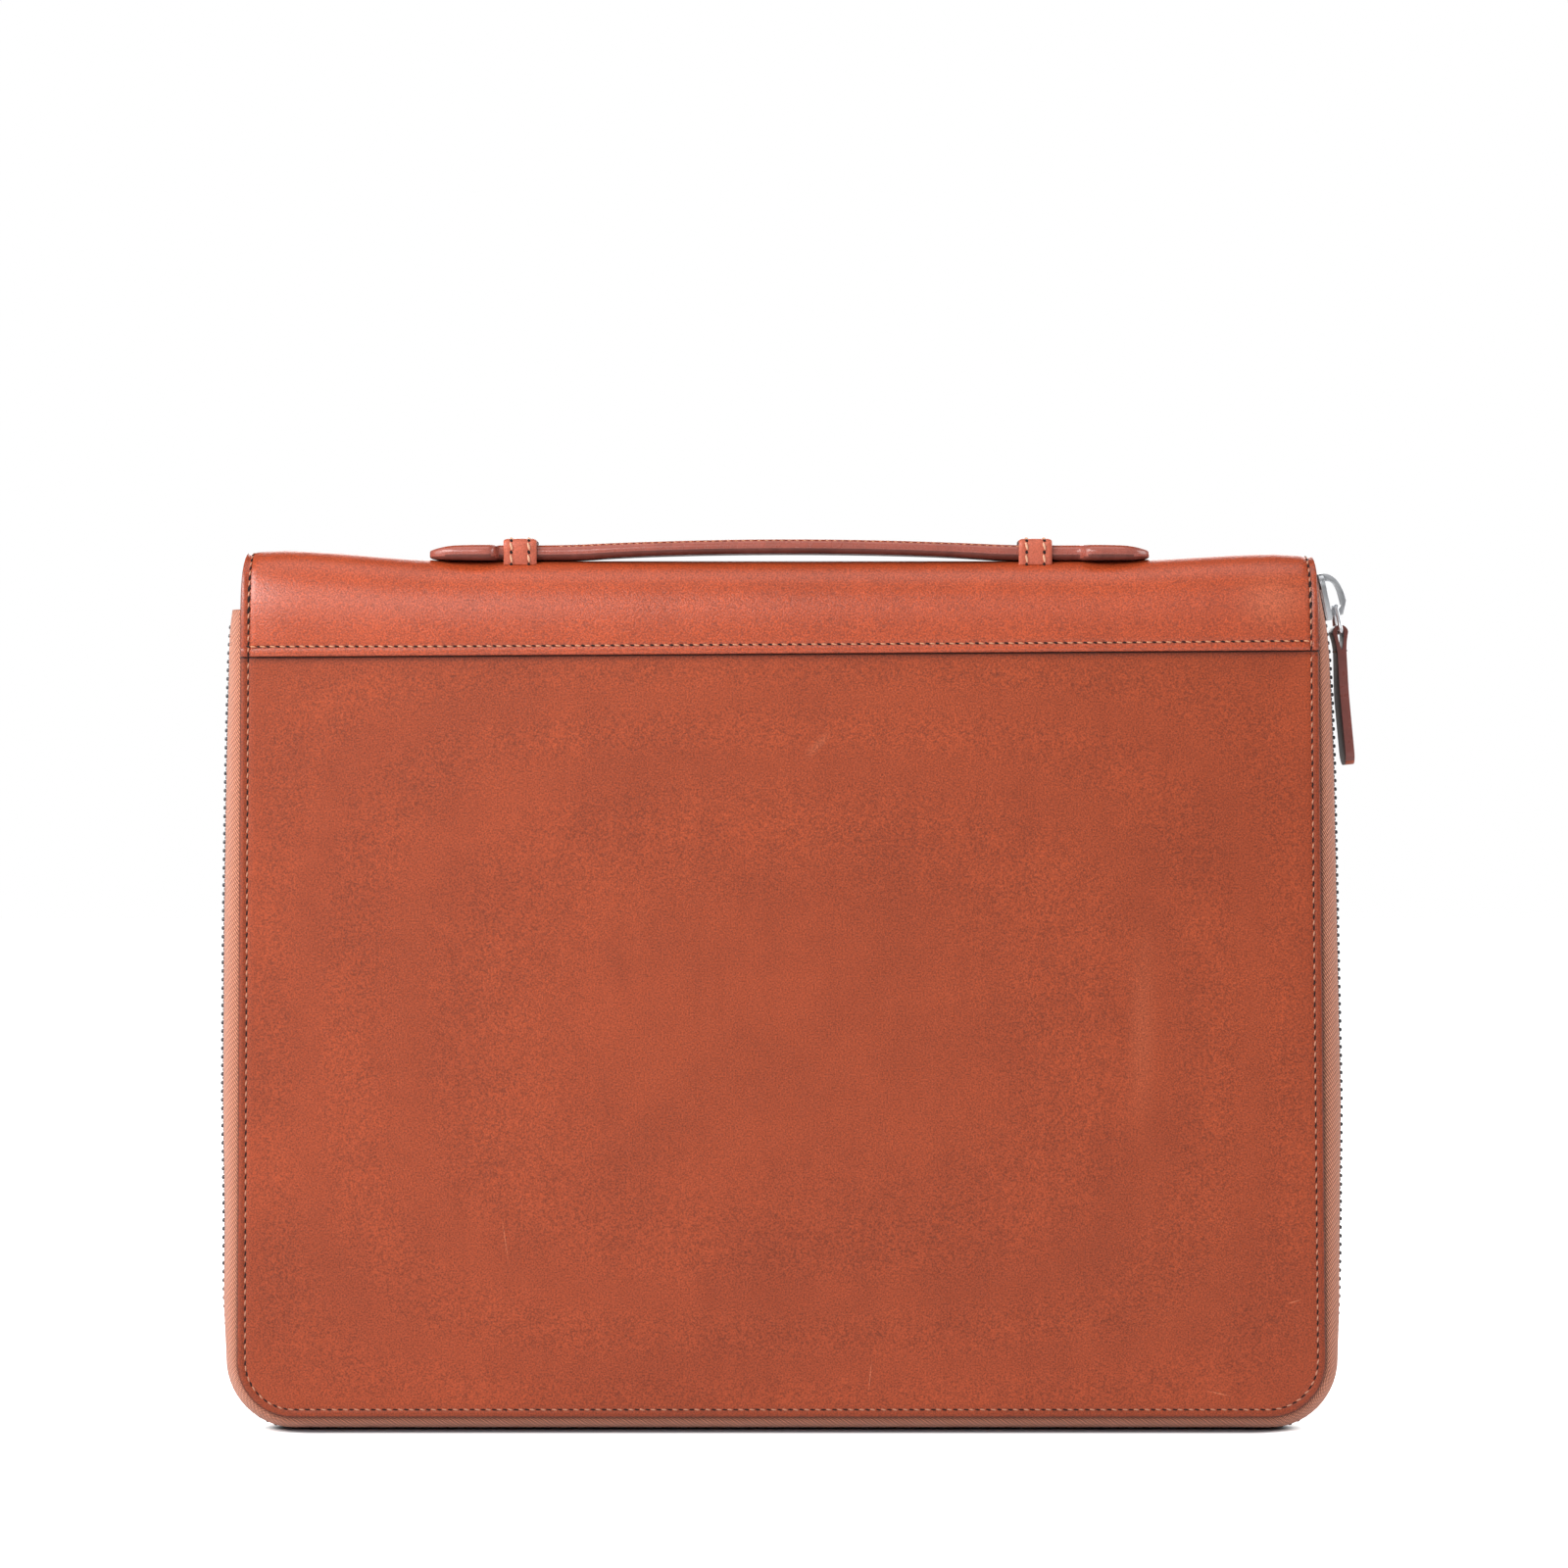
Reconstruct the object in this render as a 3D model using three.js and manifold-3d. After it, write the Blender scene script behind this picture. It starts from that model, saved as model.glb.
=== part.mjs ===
// A zip-around leather portfolio, standing on its zip with the spine and the carrying handle on top.
// Millimetres, +Z up. The front cover faces -Y, and the origin is on the floor under the middle of the zip.
import * as THREE from "three";
import { mergeVertices } from "three/addons/utils/BufferGeometryUtils.js";
import Module from "manifold-3d";

const wasm = await Module();
wasm.setup();

// Driving dimensions
const GAP = 0.3; // left between pieces that touch on the real thing
const CASE = {
  halfWidthAtFloor: 163.9, // half the leather's width, carried down to the floor
  taper: 0.0095, // half-width lost for each millimetre of height
  halfDepth: 13, // from the middle plane to a cover's outer face at its rim
};
const COVER = { wall: 2.4, low: 5, top: 239, radius: 17, crown: 1.5, crownTop: 236, columns: 14 };
const BAND = {
  wall: 1.6,
  lowLeft: 233.2, // the edge that laps over the cover, a little out of level
  lowRight: 235.2,
  bend: 236.5, // where the leather starts to turn over the top
  topLeft: 265.7,
  topMiddle: 262.5, // lower under the handle
  topRight: 264.8,
  riseFrom: 95, // where the top starts to rise to its ends, out from the middle
  riseTo: 152,
  roundness: 2.7, // 2 is an ellipse, more is a flatter top
  endInset: 2, // how far each end is drawn in at the top
  columns: 14,
  rows: 26,
};
const TAPE = {
  wall: 1,
  tuck: 6,
  endLeft: 247.6,
  endRight: 256,
  arcSteps: 6,
  cornerGap: 0.02, // share of a corner's turn left open at each end of its run
};
const CHAIN = { halfWidth: 2.7, proud: 0.6, thick: 2.1, endLeft: 243, endRight: 251 };
const FLOOR_BULGE = 7.5; // the bulge that the floor presses flat along the bottom
const CORNER_STEPS = 7;
const BOTTOM_STEPS = 8;

// How far the zip stands out past the covers' edge on either side, at heights above the floor
const BULGE = [
  { height: 256, left: 3, right: 0.3 },
  { height: 251, left: 3.9, right: 1.34 },
  { height: 243, left: 5, right: 3 },
  { height: 234, left: 5.5, right: 4 },
  { height: 222, left: 5.8, right: 4.7 },
  { height: 200, left: 6.1, right: 5.3 },
  { height: 150, left: 6.4, right: 5.8 },
  { height: 100, left: 6.2, right: 6.4 },
  { height: 65, left: 5.4, right: 5.8 },
  { height: 40, left: 5.3, right: 5.3 },
  { height: 22, left: 4.1, right: 4.4 },
];

// The handle from its middle to one end: place, half-width, height of the underside and thickness
const HANDLE_CENTRE = 2.4;
const HANDLE = [
  { at: 0, halfWidth: 7.5, base: 264.5, thick: 4.6 },
  { at: 20, halfWidth: 7.5, base: 264.35, thick: 4.6 },
  { at: 40, halfWidth: 7.4, base: 263.9, thick: 4.5 },
  { at: 58, halfWidth: 7, base: 263.3, thick: 4.5 },
  { at: 70, halfWidth: 6.3, base: 262.8, thick: 4.5 },
  { at: 88, halfWidth: 6.2, base: 262.8, thick: 4.5 },
  { at: 88.7, halfWidth: 8.4, base: 262.8, thick: 4.5 },
  { at: 89.8, halfWidth: 10, base: 262.8, thick: 4.5 },
  { at: 92, halfWidth: 10.6, base: 262.8, thick: 4.6 },
  { at: 101, halfWidth: 10.2, base: 262.85, thick: 4.5 },
  { at: 105.5, halfWidth: 8.6, base: 263.1, thick: 4 },
  { at: 108, halfWidth: 6.4, base: 263.3, thick: 3.2 },
  { at: 108.9, halfWidth: 4.4, base: 263.6, thick: 2.2 },
];
const STRAP_SHARES = [-1, -0.88, -0.6, 0, 0.6, 0.88, 1]; // places across the strap
const KEEPER = { width: 10.2, wall: 1.4, inside: 6.5, top: 269.1, radius: 2.2 };
const KEEPER_PLACES = { left: -78.9, right: 76.6 };

const SLIDER = {
  height: 251.2, // of its middle
  halfLength: 7.2,
  topHalfWidth: 4.4,
  lowHalfWidth: 3.7,
  plate: 1.6, // the outer one, which carries the bail
  innerPlate: 1.2,
  lip: 0.8, // width of the side lips that hold the tape
  lipDrop: 0.5,
  postHalfWidth: 1.2,
  postFrom: 2.4,
};
const BAIL = { halfWidth: 1.3, reach: 5.3, strip: 1.8, footTop: 7.1, footLow: -6.4, holeTop: 4.6 };
const LINK = {
  wire: 0.7, // radius
  sides: 8,
  length: 8.3, // between the middles of its top and lower wires
  tilt: 8, // degrees outward from hanging straight
  topHalf: 2.7,
  lowHalf: 5,
  corner: 1.2,
  away: 1.7, // from the slider's outer plate to the middle of the top wire
  drop: 3.26, // from the slider's middle to the top wire
};
const PULL = {
  wall: 1.35,
  length: 40,
  tilt: 5.5, // degrees outward from hanging straight
  turn: 4, // degrees about the upright, so that its inner face shows from the front
  foldHalf: 3.8,
  lowHalf: 5.6,
  joinAt: 7, // where the two layers lie together, below the link's lower wire
  crease: 5.4, // the lower end of the eye between the layers
  endRadius: 4,
};

const INK = {
  leather: { color: 0xb05c3e, roughness: 0.55, metalness: 0 },
  edge: { color: 0x7c4334, roughness: 0.5, metalness: 0 },
  tape: { color: 0xc98a68, roughness: 0.9, metalness: 0 },
  teeth: { color: 0x55565a, roughness: 0.35, metalness: 1 },
  nickel: { color: 0xc9cbd0, roughness: 0.22, metalness: 1 },
};

// Small helpers
const radians = THREE.MathUtils.degToRad;
const point = (x, y, z) => new THREE.Vector3(x, y, z);
const steps = (count) => Array.from({ length: count + 1 }, (_, i) => i / count);
const halfWidthAt = (height) => CASE.halfWidthAtFloor - CASE.taper * height;
const CORNER_SHARES = steps(CORNER_STEPS).slice(1, -1);

function between(table, key, at, column) {
  const sorted = [...table].sort((a, b) => a[key] - b[key]);
  const after = sorted.findIndex((row) => row[key] >= at);
  if (after === 0) return sorted[0][column];
  if (after < 0) return sorted[sorted.length - 1][column];
  const [low, high] = [sorted[after - 1], sorted[after]];
  const share = (at - low[key]) / (high[key] - low[key]);
  return THREE.MathUtils.lerp(low[column], high[column], share);
}

const bulgeAt = (height, sign) => between(BULGE, "height", height, sign < 0 ? "left" : "right");

// A wall as one closed solid: each row has points on its outer face and the same number on its inner face.
function wall(rows) {
  const columns = rows[0].outer.length;
  const positions = rows.flatMap((row) => [...row.outer, ...row.inner].flatMap((p) => [p.x, p.y, p.z]));
  const outer = (i, j) => i * 2 * columns + j;
  const inner = (i, j) => outer(i, j) + columns;
  const index = [];
  const quad = (a, b, c, d) => index.push(a, b, c, a, c, d);
  const last = rows.length - 1;
  for (let i = 0; i < last; i++) {
    for (let j = 0; j < columns - 1; j++) {
      quad(outer(i, j), outer(i, j + 1), outer(i + 1, j + 1), outer(i + 1, j));
      quad(inner(i, j), inner(i + 1, j), inner(i + 1, j + 1), inner(i, j + 1));
    }
    quad(outer(i, 0), outer(i + 1, 0), inner(i + 1, 0), inner(i, 0));
    quad(outer(i, columns - 1), inner(i, columns - 1), inner(i + 1, columns - 1), outer(i + 1, columns - 1));
  }
  for (let j = 0; j < columns - 1; j++) {
    quad(outer(0, j), inner(0, j), inner(0, j + 1), outer(0, j + 1));
    quad(outer(last, j), outer(last, j + 1), inner(last, j + 1), inner(last, j));
  }
  return facingOut(positions, index);
}

// A closed ring of round wire along points of a loop that lies in the plane square to the given normal.
function wireRing(loop, normal, radius, sides) {
  const positions = [];
  const index = [];
  loop.forEach((at, i) => {
    const ahead = loop[(i + 1) % loop.length].clone().sub(loop.at(i - 1)).normalize();
    const side = ahead.clone().cross(normal);
    for (let k = 0; k < sides; k++) {
      const turn = (2 * Math.PI * k) / sides;
      const p = at.clone().addScaledVector(side, radius * Math.cos(turn));
      p.addScaledVector(normal, radius * Math.sin(turn));
      positions.push(p.x, p.y, p.z);
      const [a, b] = [i * sides + k, i * sides + ((k + 1) % sides)];
      const [c, d] = [a, b].map((v) => (v + sides) % (loop.length * sides));
      index.push(a, b, d, a, d, c);
    }
  });
  return facingOut(positions, index);
}

// Turns every triangle round if the closed surface encloses a negative volume.
function facingOut(positions, index) {
  const at = (i) => point(...positions.slice(3 * i, 3 * i + 3));
  let volume = 0;
  for (let i = 0; i < index.length; i += 3) {
    volume += at(index[i]).dot(at(index[i + 1]).cross(at(index[i + 2])));
  }
  if (volume < 0) {
    for (let i = 0; i < index.length; i += 3) [index[i + 1], index[i + 2]] = [index[i + 2], index[i + 1]];
  }
  const geometry = new THREE.BufferGeometry();
  geometry.setAttribute("position", new THREE.Float32BufferAttribute(positions, 3));
  geometry.setIndex(index);
  return geometry;
}

function solidOf(geometry) {
  const bare = geometry.clone().deleteAttribute("normal").deleteAttribute("uv");
  const merged = mergeVertices(bare, 1e-3);
  return new wasm.Manifold(
    new wasm.Mesh({
      numProp: 3,
      vertProperties: new Float32Array(merged.attributes.position.array),
      triVerts: new Uint32Array(merged.index.array),
    }),
  );
}

function geometryOf(solid) {
  const made = solid.getMesh();
  const geometry = new THREE.BufferGeometry();
  geometry.setAttribute("position", new THREE.BufferAttribute(new Float32Array(made.vertProperties), 3));
  geometry.setIndex(new THREE.BufferAttribute(new Uint32Array(made.triVerts), 1));
  return geometry;
}

// A flat shape drawn in X and Z, thickened along Y and centred on the middle plane.
function slabXZ(shape, width, curveSegments = 8) {
  const geometry = new THREE.ExtrudeGeometry(shape, { depth: width, bevelEnabled: false, curveSegments });
  return geometry.translate(0, 0, -width / 2).rotateX(Math.PI / 2);
}

// A flat shape drawn in Y and Z, thickened along X from the given place.
function slabYZ(shape, from, depth) {
  const geometry = new THREE.ExtrudeGeometry(shape, { depth, bevelEnabled: false, curveSegments: 6 });
  const standing = new THREE.Matrix4().makeBasis(point(0, 1, 0), point(0, 0, 1), point(1, 0, 0));
  return geometry.applyMatrix4(standing).translate(from, 0, 0);
}

const block = (x0, x1, y0, y1, z0, z1) =>
  new THREE.BoxGeometry(x1 - x0, y1 - y0, z1 - z0).translate((x0 + x1) / 2, (y0 + y1) / 2, (z0 + z1) / 2);

function piece(name, geometry, ink) {
  const mesh = new THREE.Mesh(geometry, new THREE.MeshStandardMaterial(ink));
  mesh.name = name;
  return mesh;
}

// Covers: a crowned leather wall with round lower corners, front at side -1 and back at side 1
function coverGeometry(side) {
  const corner = steps(6).map((share) => {
    const turn = (share * Math.PI) / 2;
    const height = COVER.low + COVER.radius * (1 - Math.cos(turn));
    return { height, half: halfWidthAt(height) - COVER.radius * (1 - Math.sin(turn)) };
  });
  const straight = steps(8).slice(1).map((share) => {
    const height = THREE.MathUtils.lerp(COVER.low + COVER.radius, COVER.top, share);
    return { height, half: halfWidthAt(height) };
  });
  const shares = steps(COVER.columns).map((share) => Math.sin((share - 0.5) * Math.PI));
  const middle = (COVER.low + COVER.crownTop) / 2;
  const reach = COVER.crownTop - middle;
  return wall(
    [...corner, ...straight].map(({ height, half }) => {
      const up = Math.min(1, Math.abs(height - middle) / reach);
      const places = shares.map((share) => ({
        x: share * half,
        y: CASE.halfDepth + COVER.crown * (1 - Math.abs(share) ** 3) * (1 - up ** 3),
      }));
      return {
        outer: places.map(({ x, y }) => point(x, side * y, height)),
        inner: places.map(({ x, y }) => point(x, side * (y - COVER.wall), height)),
      };
    }),
  );
}

// Spine band: leather lapped over both covers and turned over the top, lower under the handle
const BAND_HALF_DEPTH = CASE.halfDepth + GAP + BAND.wall;
const BAND_TOP = Math.max(BAND.topLeft, BAND.topRight);

function bandTopAt(x) {
  const rise = THREE.MathUtils.smoothstep(Math.abs(x), BAND.riseFrom, BAND.riseTo);
  return THREE.MathUtils.lerp(BAND.topMiddle, x < 0 ? BAND.topLeft : BAND.topRight, rise);
}

function bandLowAt(x) {
  const share = x / halfWidthAt(BAND.bend) / 2 + 0.5;
  return THREE.MathUtils.lerp(BAND.lowLeft, BAND.lowRight, share);
}

function bandSurfaceAt(x, y) {
  const across = Math.abs(y / BAND_HALF_DEPTH) ** BAND.roundness;
  return BAND.bend + (bandTopAt(x) - BAND.bend) * (1 - across) ** (1 / BAND.roundness);
}

function bandProfile(x, inset) {
  const halfDepth = BAND_HALF_DEPTH - inset;
  const rise = bandTopAt(x) - inset - BAND.bend;
  const lobe = (value) => Math.sign(value) * Math.abs(value) ** (2 / BAND.roundness);
  const crown = steps(BAND.columns).map((share) => ({
    y: -halfDepth * lobe(Math.cos(share * Math.PI)),
    z: BAND.bend + rise * Math.abs(lobe(Math.sin(share * Math.PI))),
  }));
  const skirt = [bandLowAt(x), (bandLowAt(x) + BAND.bend) / 2];
  return [
    ...skirt.map((z) => ({ y: -halfDepth, z })),
    ...crown,
    ...skirt.reverse().map((z) => ({ y: halfDepth, z })),
  ];
}

function bandGeometry() {
  const face = (share, inset) => {
    return bandProfile(share * halfWidthAt(BAND_TOP), inset).map(({ y, z }) => {
      const up = Math.max(0, (z - BAND.bend) / (BAND_TOP - BAND.bend));
      return point(share * (halfWidthAt(z) - BAND.endInset * up * up), y, z);
    });
  };
  const shares = steps(BAND.rows).map((share) => 2 * share - 1);
  return wall(shares.map((share) => ({ outer: face(share, 0), inner: face(share, BAND.wall) })));
}

// The line of the covers' edge from one end of the zip, under the case, to the other, with the zip's bulge.
// It comes in five runs: the left side, a corner, the floor, a corner and the right side.
function edgeRuns(endLeft, endRight, cornerShares) {
  const sideHeights = (end) => [end, ...BULGE.map((row) => row.height).filter((height) => height < end)];
  const onSide = (sign) => (height) => ({
    x: sign * halfWidthAt(height), z: height, outX: sign, outZ: 0, bulge: bulgeAt(height, sign),
  });
  const centreZ = COVER.low + COVER.radius;
  const centreX = halfWidthAt(centreZ) - COVER.radius;
  const corner = (sign) =>
    cornerShares.map((share) => {
      const turn = (share * Math.PI) / 2;
      const [outX, outZ] = [sign * Math.cos(turn), -Math.sin(turn)];
      return {
        x: sign * centreX + COVER.radius * outX,
        z: centreZ + COVER.radius * outZ,
        outX, outZ,
        bulge: THREE.MathUtils.lerp(bulgeAt(centreZ, sign), FLOOR_BULGE, share ** 3),
      };
    });
  const bottom = steps(BOTTOM_STEPS).map((share) => ({
    x: THREE.MathUtils.lerp(-centreX, centreX, share), z: COVER.low, outX: 0, outZ: -1, bulge: FLOOR_BULGE,
  }));
  return [
    sideHeights(endLeft).map(onSide(-1)),
    corner(-1),
    bottom,
    corner(1).reverse(),
    sideHeights(endRight).reverse().map(onSide(1)),
  ];
}

// A place beside the edge line, never lower than the given clearance from the floor
const beside = (station, out, y, clearance) =>
  point(station.x + station.outX * out, y, Math.max(clearance, station.z + station.outZ * out));

// Zip tapes: cloth tucked under a cover's rim and bowed out to the teeth, pressed flat along the floor
function tapeGeometry(side, run) {
  const hem = CASE.halfDepth - COVER.wall - GAP;
  const chainEdge = CHAIN.halfWidth + GAP;
  const arc = (bulge, inset) =>
    steps(TAPE.arcSteps).map((share) => {
      const turn = (share * Math.PI) / 2;
      const y = chainEdge + (hem - inset - chainEdge) * Math.cos(turn);
      return { out: (bulge - inset) * Math.sin(turn), y };
    });
  const section = (bulge, inset) => [{ out: -TAPE.tuck, y: hem - inset }, ...arc(bulge, inset)];
  return wall(
    run.map((station) => {
      const inset = Math.min(TAPE.wall, station.bulge + TAPE.wall / 2);
      return {
        outer: section(station.bulge, 0).map(({ out, y }) => beside(station, out, side * y, 0)),
        inner: section(station.bulge, inset).map(({ out, y }) => beside(station, out, side * y, TAPE.wall)),
      };
    }),
  );
}

// Each tape is cut at its corners into straight and curved runs.
function tapePieces(name, side) {
  const labels = ["left", "left_corner", "floor", "right_corner", "right"];
  const shares = [TAPE.cornerGap, ...CORNER_SHARES, 1 - TAPE.cornerGap];
  const runs = edgeRuns(TAPE.endLeft, TAPE.endRight, shares);
  return runs.map((run, i) => piece(`${name}_${labels[i]}`, tapeGeometry(side, run), INK.tape));
}

// Zip chain: the closed row of teeth as one strip
function chainGeometry() {
  return wall(
    edgeRuns(CHAIN.endLeft, CHAIN.endRight, CORNER_SHARES).flat().map((station) => {
      const outer = station.bulge + CHAIN.proud;
      const across = [-CHAIN.halfWidth, CHAIN.halfWidth];
      return {
        outer: across.map((y) => beside(station, outer, y, 0)),
        inner: across.map((y) => beside(station, outer - CHAIN.thick, y, CHAIN.thick)),
      };
    }),
  );
}

// Handle: a domed strap with paddle ends too wide to slip through the keepers
function handleGeometry() {
  const mirrored = [...HANDLE.slice(1).reverse().map((row) => ({ ...row, at: -row.at })), ...HANDLE];
  return wall(
    mirrored.map(({ at, halfWidth, base, thick }) => {
      const face = (height) =>
        STRAP_SHARES.map((share) => {
          const z = base + thick * height(share * share);
          return point(HANDLE_CENTRE + at, share * halfWidth, z);
        });
      return { outer: face((edge) => 1 - 0.32 * edge ** 2), inner: face((edge) => 0.2 * edge ** 4) };
    }),
  );
}

// Keepers: leather loops over the handle, standing on the spine
function keeperGeometry(place) {
  const corner = (half, top, radius) =>
    steps(3).map((share) => {
      const turn = (share * Math.PI) / 2;
      return { y: half - radius * (1 - Math.cos(turn)), z: top - radius * (1 - Math.sin(turn)) };
    });
  const loop = (x, inset) => {
    const half = KEEPER.inside + KEEPER.wall - inset;
    const right = corner(half, KEEPER.top - inset, KEEPER.radius - inset);
    const foot = bandSurfaceAt(x, half) + GAP;
    const arch = [...right.map(({ y, z }) => ({ y: -y, z })), ...right.reverse()];
    return [{ y: -half, z: foot }, ...arch, { y: half, z: foot }].map(({ y, z }) => point(x, y, z));
  };
  const across = steps(3).map((share) => place + (share - 0.5) * KEEPER.width);
  return wall(across.map((x) => ({ outer: loop(x, 0), inner: loop(x, KEEPER.wall) })));
}

// Slider: two plates on a post with lips round the tape, and a bail over the outer plate.
// Drawn with the chain along Z through its origin, and X pointing out of the case.
const PLATE_FROM = CHAIN.thick / 2 + GAP;
const PLATE_TO = PLATE_FROM + SLIDER.plate;
const LINK_AXIS = { x: PLATE_TO + LINK.away, z: -LINK.drop };

function chainPlaceAt(height) {
  return halfWidthAt(height) + bulgeAt(height, 1) + CHAIN.proud - CHAIN.thick / 2;
}

function sliderPlate() {
  const { halfLength, topHalfWidth, lowHalfWidth } = SLIDER;
  const shape = new THREE.Shape();
  shape.moveTo(-lowHalfWidth, -halfLength);
  shape.lineTo(lowHalfWidth, -halfLength);
  shape.lineTo(topHalfWidth, halfLength / 3);
  shape.quadraticCurveTo(topHalfWidth, halfLength, topHalfWidth / 3, halfLength);
  shape.lineTo(-topHalfWidth / 3, halfLength);
  shape.quadraticCurveTo(-topHalfWidth, halfLength, -topHalfWidth, halfLength / 3);
  return shape;
}

function bailShape() {
  const { reach, strip, footTop, footLow, holeTop } = BAIL;
  const [foot, crest] = [PLATE_TO - SLIDER.plate / 2, PLATE_TO + reach];
  const [holeX, holeLow] = [PLATE_TO + 0.3, LINK_AXIS.z - LINK.wire - GAP];
  const shape = new THREE.Shape();
  shape.moveTo(foot, footLow);
  shape.lineTo(crest - strip, footLow);
  shape.lineTo(crest, holeLow + strip);
  shape.bezierCurveTo(crest, footTop / 2, foot + reach * 0.7, footTop, foot, footTop);
  const hole = new THREE.Path();
  hole.moveTo(holeX, holeTop);
  const holeEnd = crest - strip;
  hole.bezierCurveTo(holeX + reach * 0.5, holeTop, holeEnd, holeTop / 2, holeEnd, holeLow + strip / 2);
  hole.lineTo(crest - strip * 1.4, holeLow);
  hole.lineTo(holeX, holeLow);
  shape.holes.push(hole);
  return shape;
}

function sliderGeometry() {
  const { halfLength, lowHalfWidth, lip, lipDrop, postHalfWidth, postFrom, plate, innerPlate } = SLIDER;
  const bite = innerPlate / 2; // how deep the joined parts reach into a plate
  const span = (from, to) => [Math.min(from, to), Math.max(from, to)];
  const lips = [-1, 1].flatMap((face) => {
    const lipX = span(face * (PLATE_FROM - lipDrop), face * (PLATE_FROM + bite));
    return [-1, 1].map((hand) => {
      const lipY = span(hand * (lowHalfWidth - lip), hand * lowHalfWidth);
      return block(...lipX, ...lipY, -halfLength, halfLength / 3);
    });
  });
  const outer = slabYZ(sliderPlate(), PLATE_FROM, plate);
  const inner = slabYZ(sliderPlate(), -PLATE_FROM - innerPlate, innerPlate);
  const postX = PLATE_FROM + bite;
  const post = block(-postX, postX, -postHalfWidth, postHalfWidth, postFrom, halfLength - bite);
  const bail = slabXZ(bailShape(), 2 * BAIL.halfWidth, 10);
  const joined = [outer, inner, ...lips, post, bail].map(solidOf).reduce((whole, next) => whole.add(next));
  return geometryOf(joined);
}

function sliderGroup() {
  const group = new THREE.Group();
  const { height, halfLength } = SLIDER;
  const [low, high] = [height - halfLength, CHAIN.endRight];
  group.position.set(chainPlaceAt(height), 0, height);
  group.rotation.y = -Math.atan((chainPlaceAt(low) - chainPlaceAt(high)) / (high - low));
  group.add(piece("zip_slider", sliderGeometry(), INK.nickel));
  return group;
}

// Pull: a wire link hung in the bail and a leather tab folded round the link's lower wire.
// Drawn with the link's top wire along Y through the origin.
function linkGeometry() {
  const { topHalf, lowHalf, length, corner, wire, sides } = LINK;
  const corners = [
    { y: topHalf, z: 0, from: 0 },
    { y: -topHalf, z: 0, from: 90 },
    { y: -lowHalf, z: -length, from: 180 },
    { y: lowHalf, z: -length, from: 270 },
  ];
  const loop = corners.flatMap(({ y, z, from }) => {
    const [inY, inZ] = [y - Math.sign(y) * corner, z + (z < 0 ? corner : -corner)];
    return steps(3).map((share) => {
      const turn = radians(from + 90 * share);
      return point(0, inY + corner * Math.cos(turn), inZ + corner * Math.sin(turn));
    });
  });
  return wireRing(loop, point(1, 0, 0), wire, sides);
}

function tabGeometry() {
  const { wall: leather, length, foldHalf, lowHalf, joinAt, crease, endRadius } = PULL;
  const inside = LINK.wire + GAP;
  const outside = inside + leather;
  const side = new THREE.Shape();
  side.moveTo(-leather, -length);
  side.lineTo(leather, -length);
  side.lineTo(leather, -joinAt);
  side.quadraticCurveTo(leather, -joinAt / 2, outside, 0);
  side.absarc(0, 0, outside, 0, Math.PI, false);
  side.quadraticCurveTo(-leather, -joinAt / 2, -leather, -joinAt);
  const eye = new THREE.Path();
  eye.moveTo(inside, 0);
  eye.absarc(0, 0, inside, 0, Math.PI, false);
  eye.quadraticCurveTo(-inside * 0.9, -crease / 2, 0, -crease);
  eye.quadraticCurveTo(inside * 0.9, -crease / 2, inside, 0);
  side.holes.push(eye);
  const front = new THREE.Shape();
  front.moveTo(-foldHalf, outside + 1);
  front.lineTo(-foldHalf, -outside);
  front.lineTo(-lowHalf, -length / 2);
  front.lineTo(-lowHalf, -length + endRadius);
  front.absarc(-lowHalf + endRadius, -length + endRadius, endRadius, Math.PI, 1.5 * Math.PI, false);
  front.absarc(lowHalf - endRadius, -length + endRadius, endRadius, 1.5 * Math.PI, 2 * Math.PI, false);
  front.lineTo(lowHalf, -length / 2);
  front.lineTo(foldHalf, -outside);
  front.lineTo(foldHalf, outside + 1);
  const folded = solidOf(slabXZ(side, 2 * lowHalf + 2, 6));
  const outline = solidOf(slabYZ(front, -2 * outside, 4 * outside));
  return geometryOf(folded.intersect(outline));
}

function pullGroup() {
  const group = new THREE.Group();
  const slider = sliderGroup();
  slider.updateMatrix();
  group.position.set(LINK_AXIS.x, 0, LINK_AXIS.z).applyMatrix4(slider.matrix);
  group.rotation.z = radians(PULL.turn);
  const link = piece("pull_link", linkGeometry(), INK.nickel);
  link.rotation.y = -radians(LINK.tilt);
  const tab = piece("pull_tab", tabGeometry(), INK.leather);
  tab.position.set(0, 0, -LINK.length).applyEuler(link.rotation);
  tab.rotation.y = -radians(PULL.tilt);
  group.add(link, tab);
  return group;
}

const portfolio = new THREE.Group();
portfolio.add(
  piece("front_cover", coverGeometry(-1), INK.leather),
  piece("back_cover", coverGeometry(1), INK.leather),
  piece("spine_band", bandGeometry(), INK.leather),
  ...tapePieces("zip_tape_front", -1),
  ...tapePieces("zip_tape_back", 1),
  piece("zip_chain", chainGeometry(), INK.teeth),
  piece("handle_strap", handleGeometry(), INK.edge),
  piece("keeper_left", keeperGeometry(KEEPER_PLACES.left), INK.leather),
  piece("keeper_right", keeperGeometry(KEEPER_PLACES.right), INK.leather),
  sliderGroup(),
  pullGroup(),
);

export default portfolio;
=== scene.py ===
import bmesh
import bpy
import math
import random
from mathutils import Matrix, Vector


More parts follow.
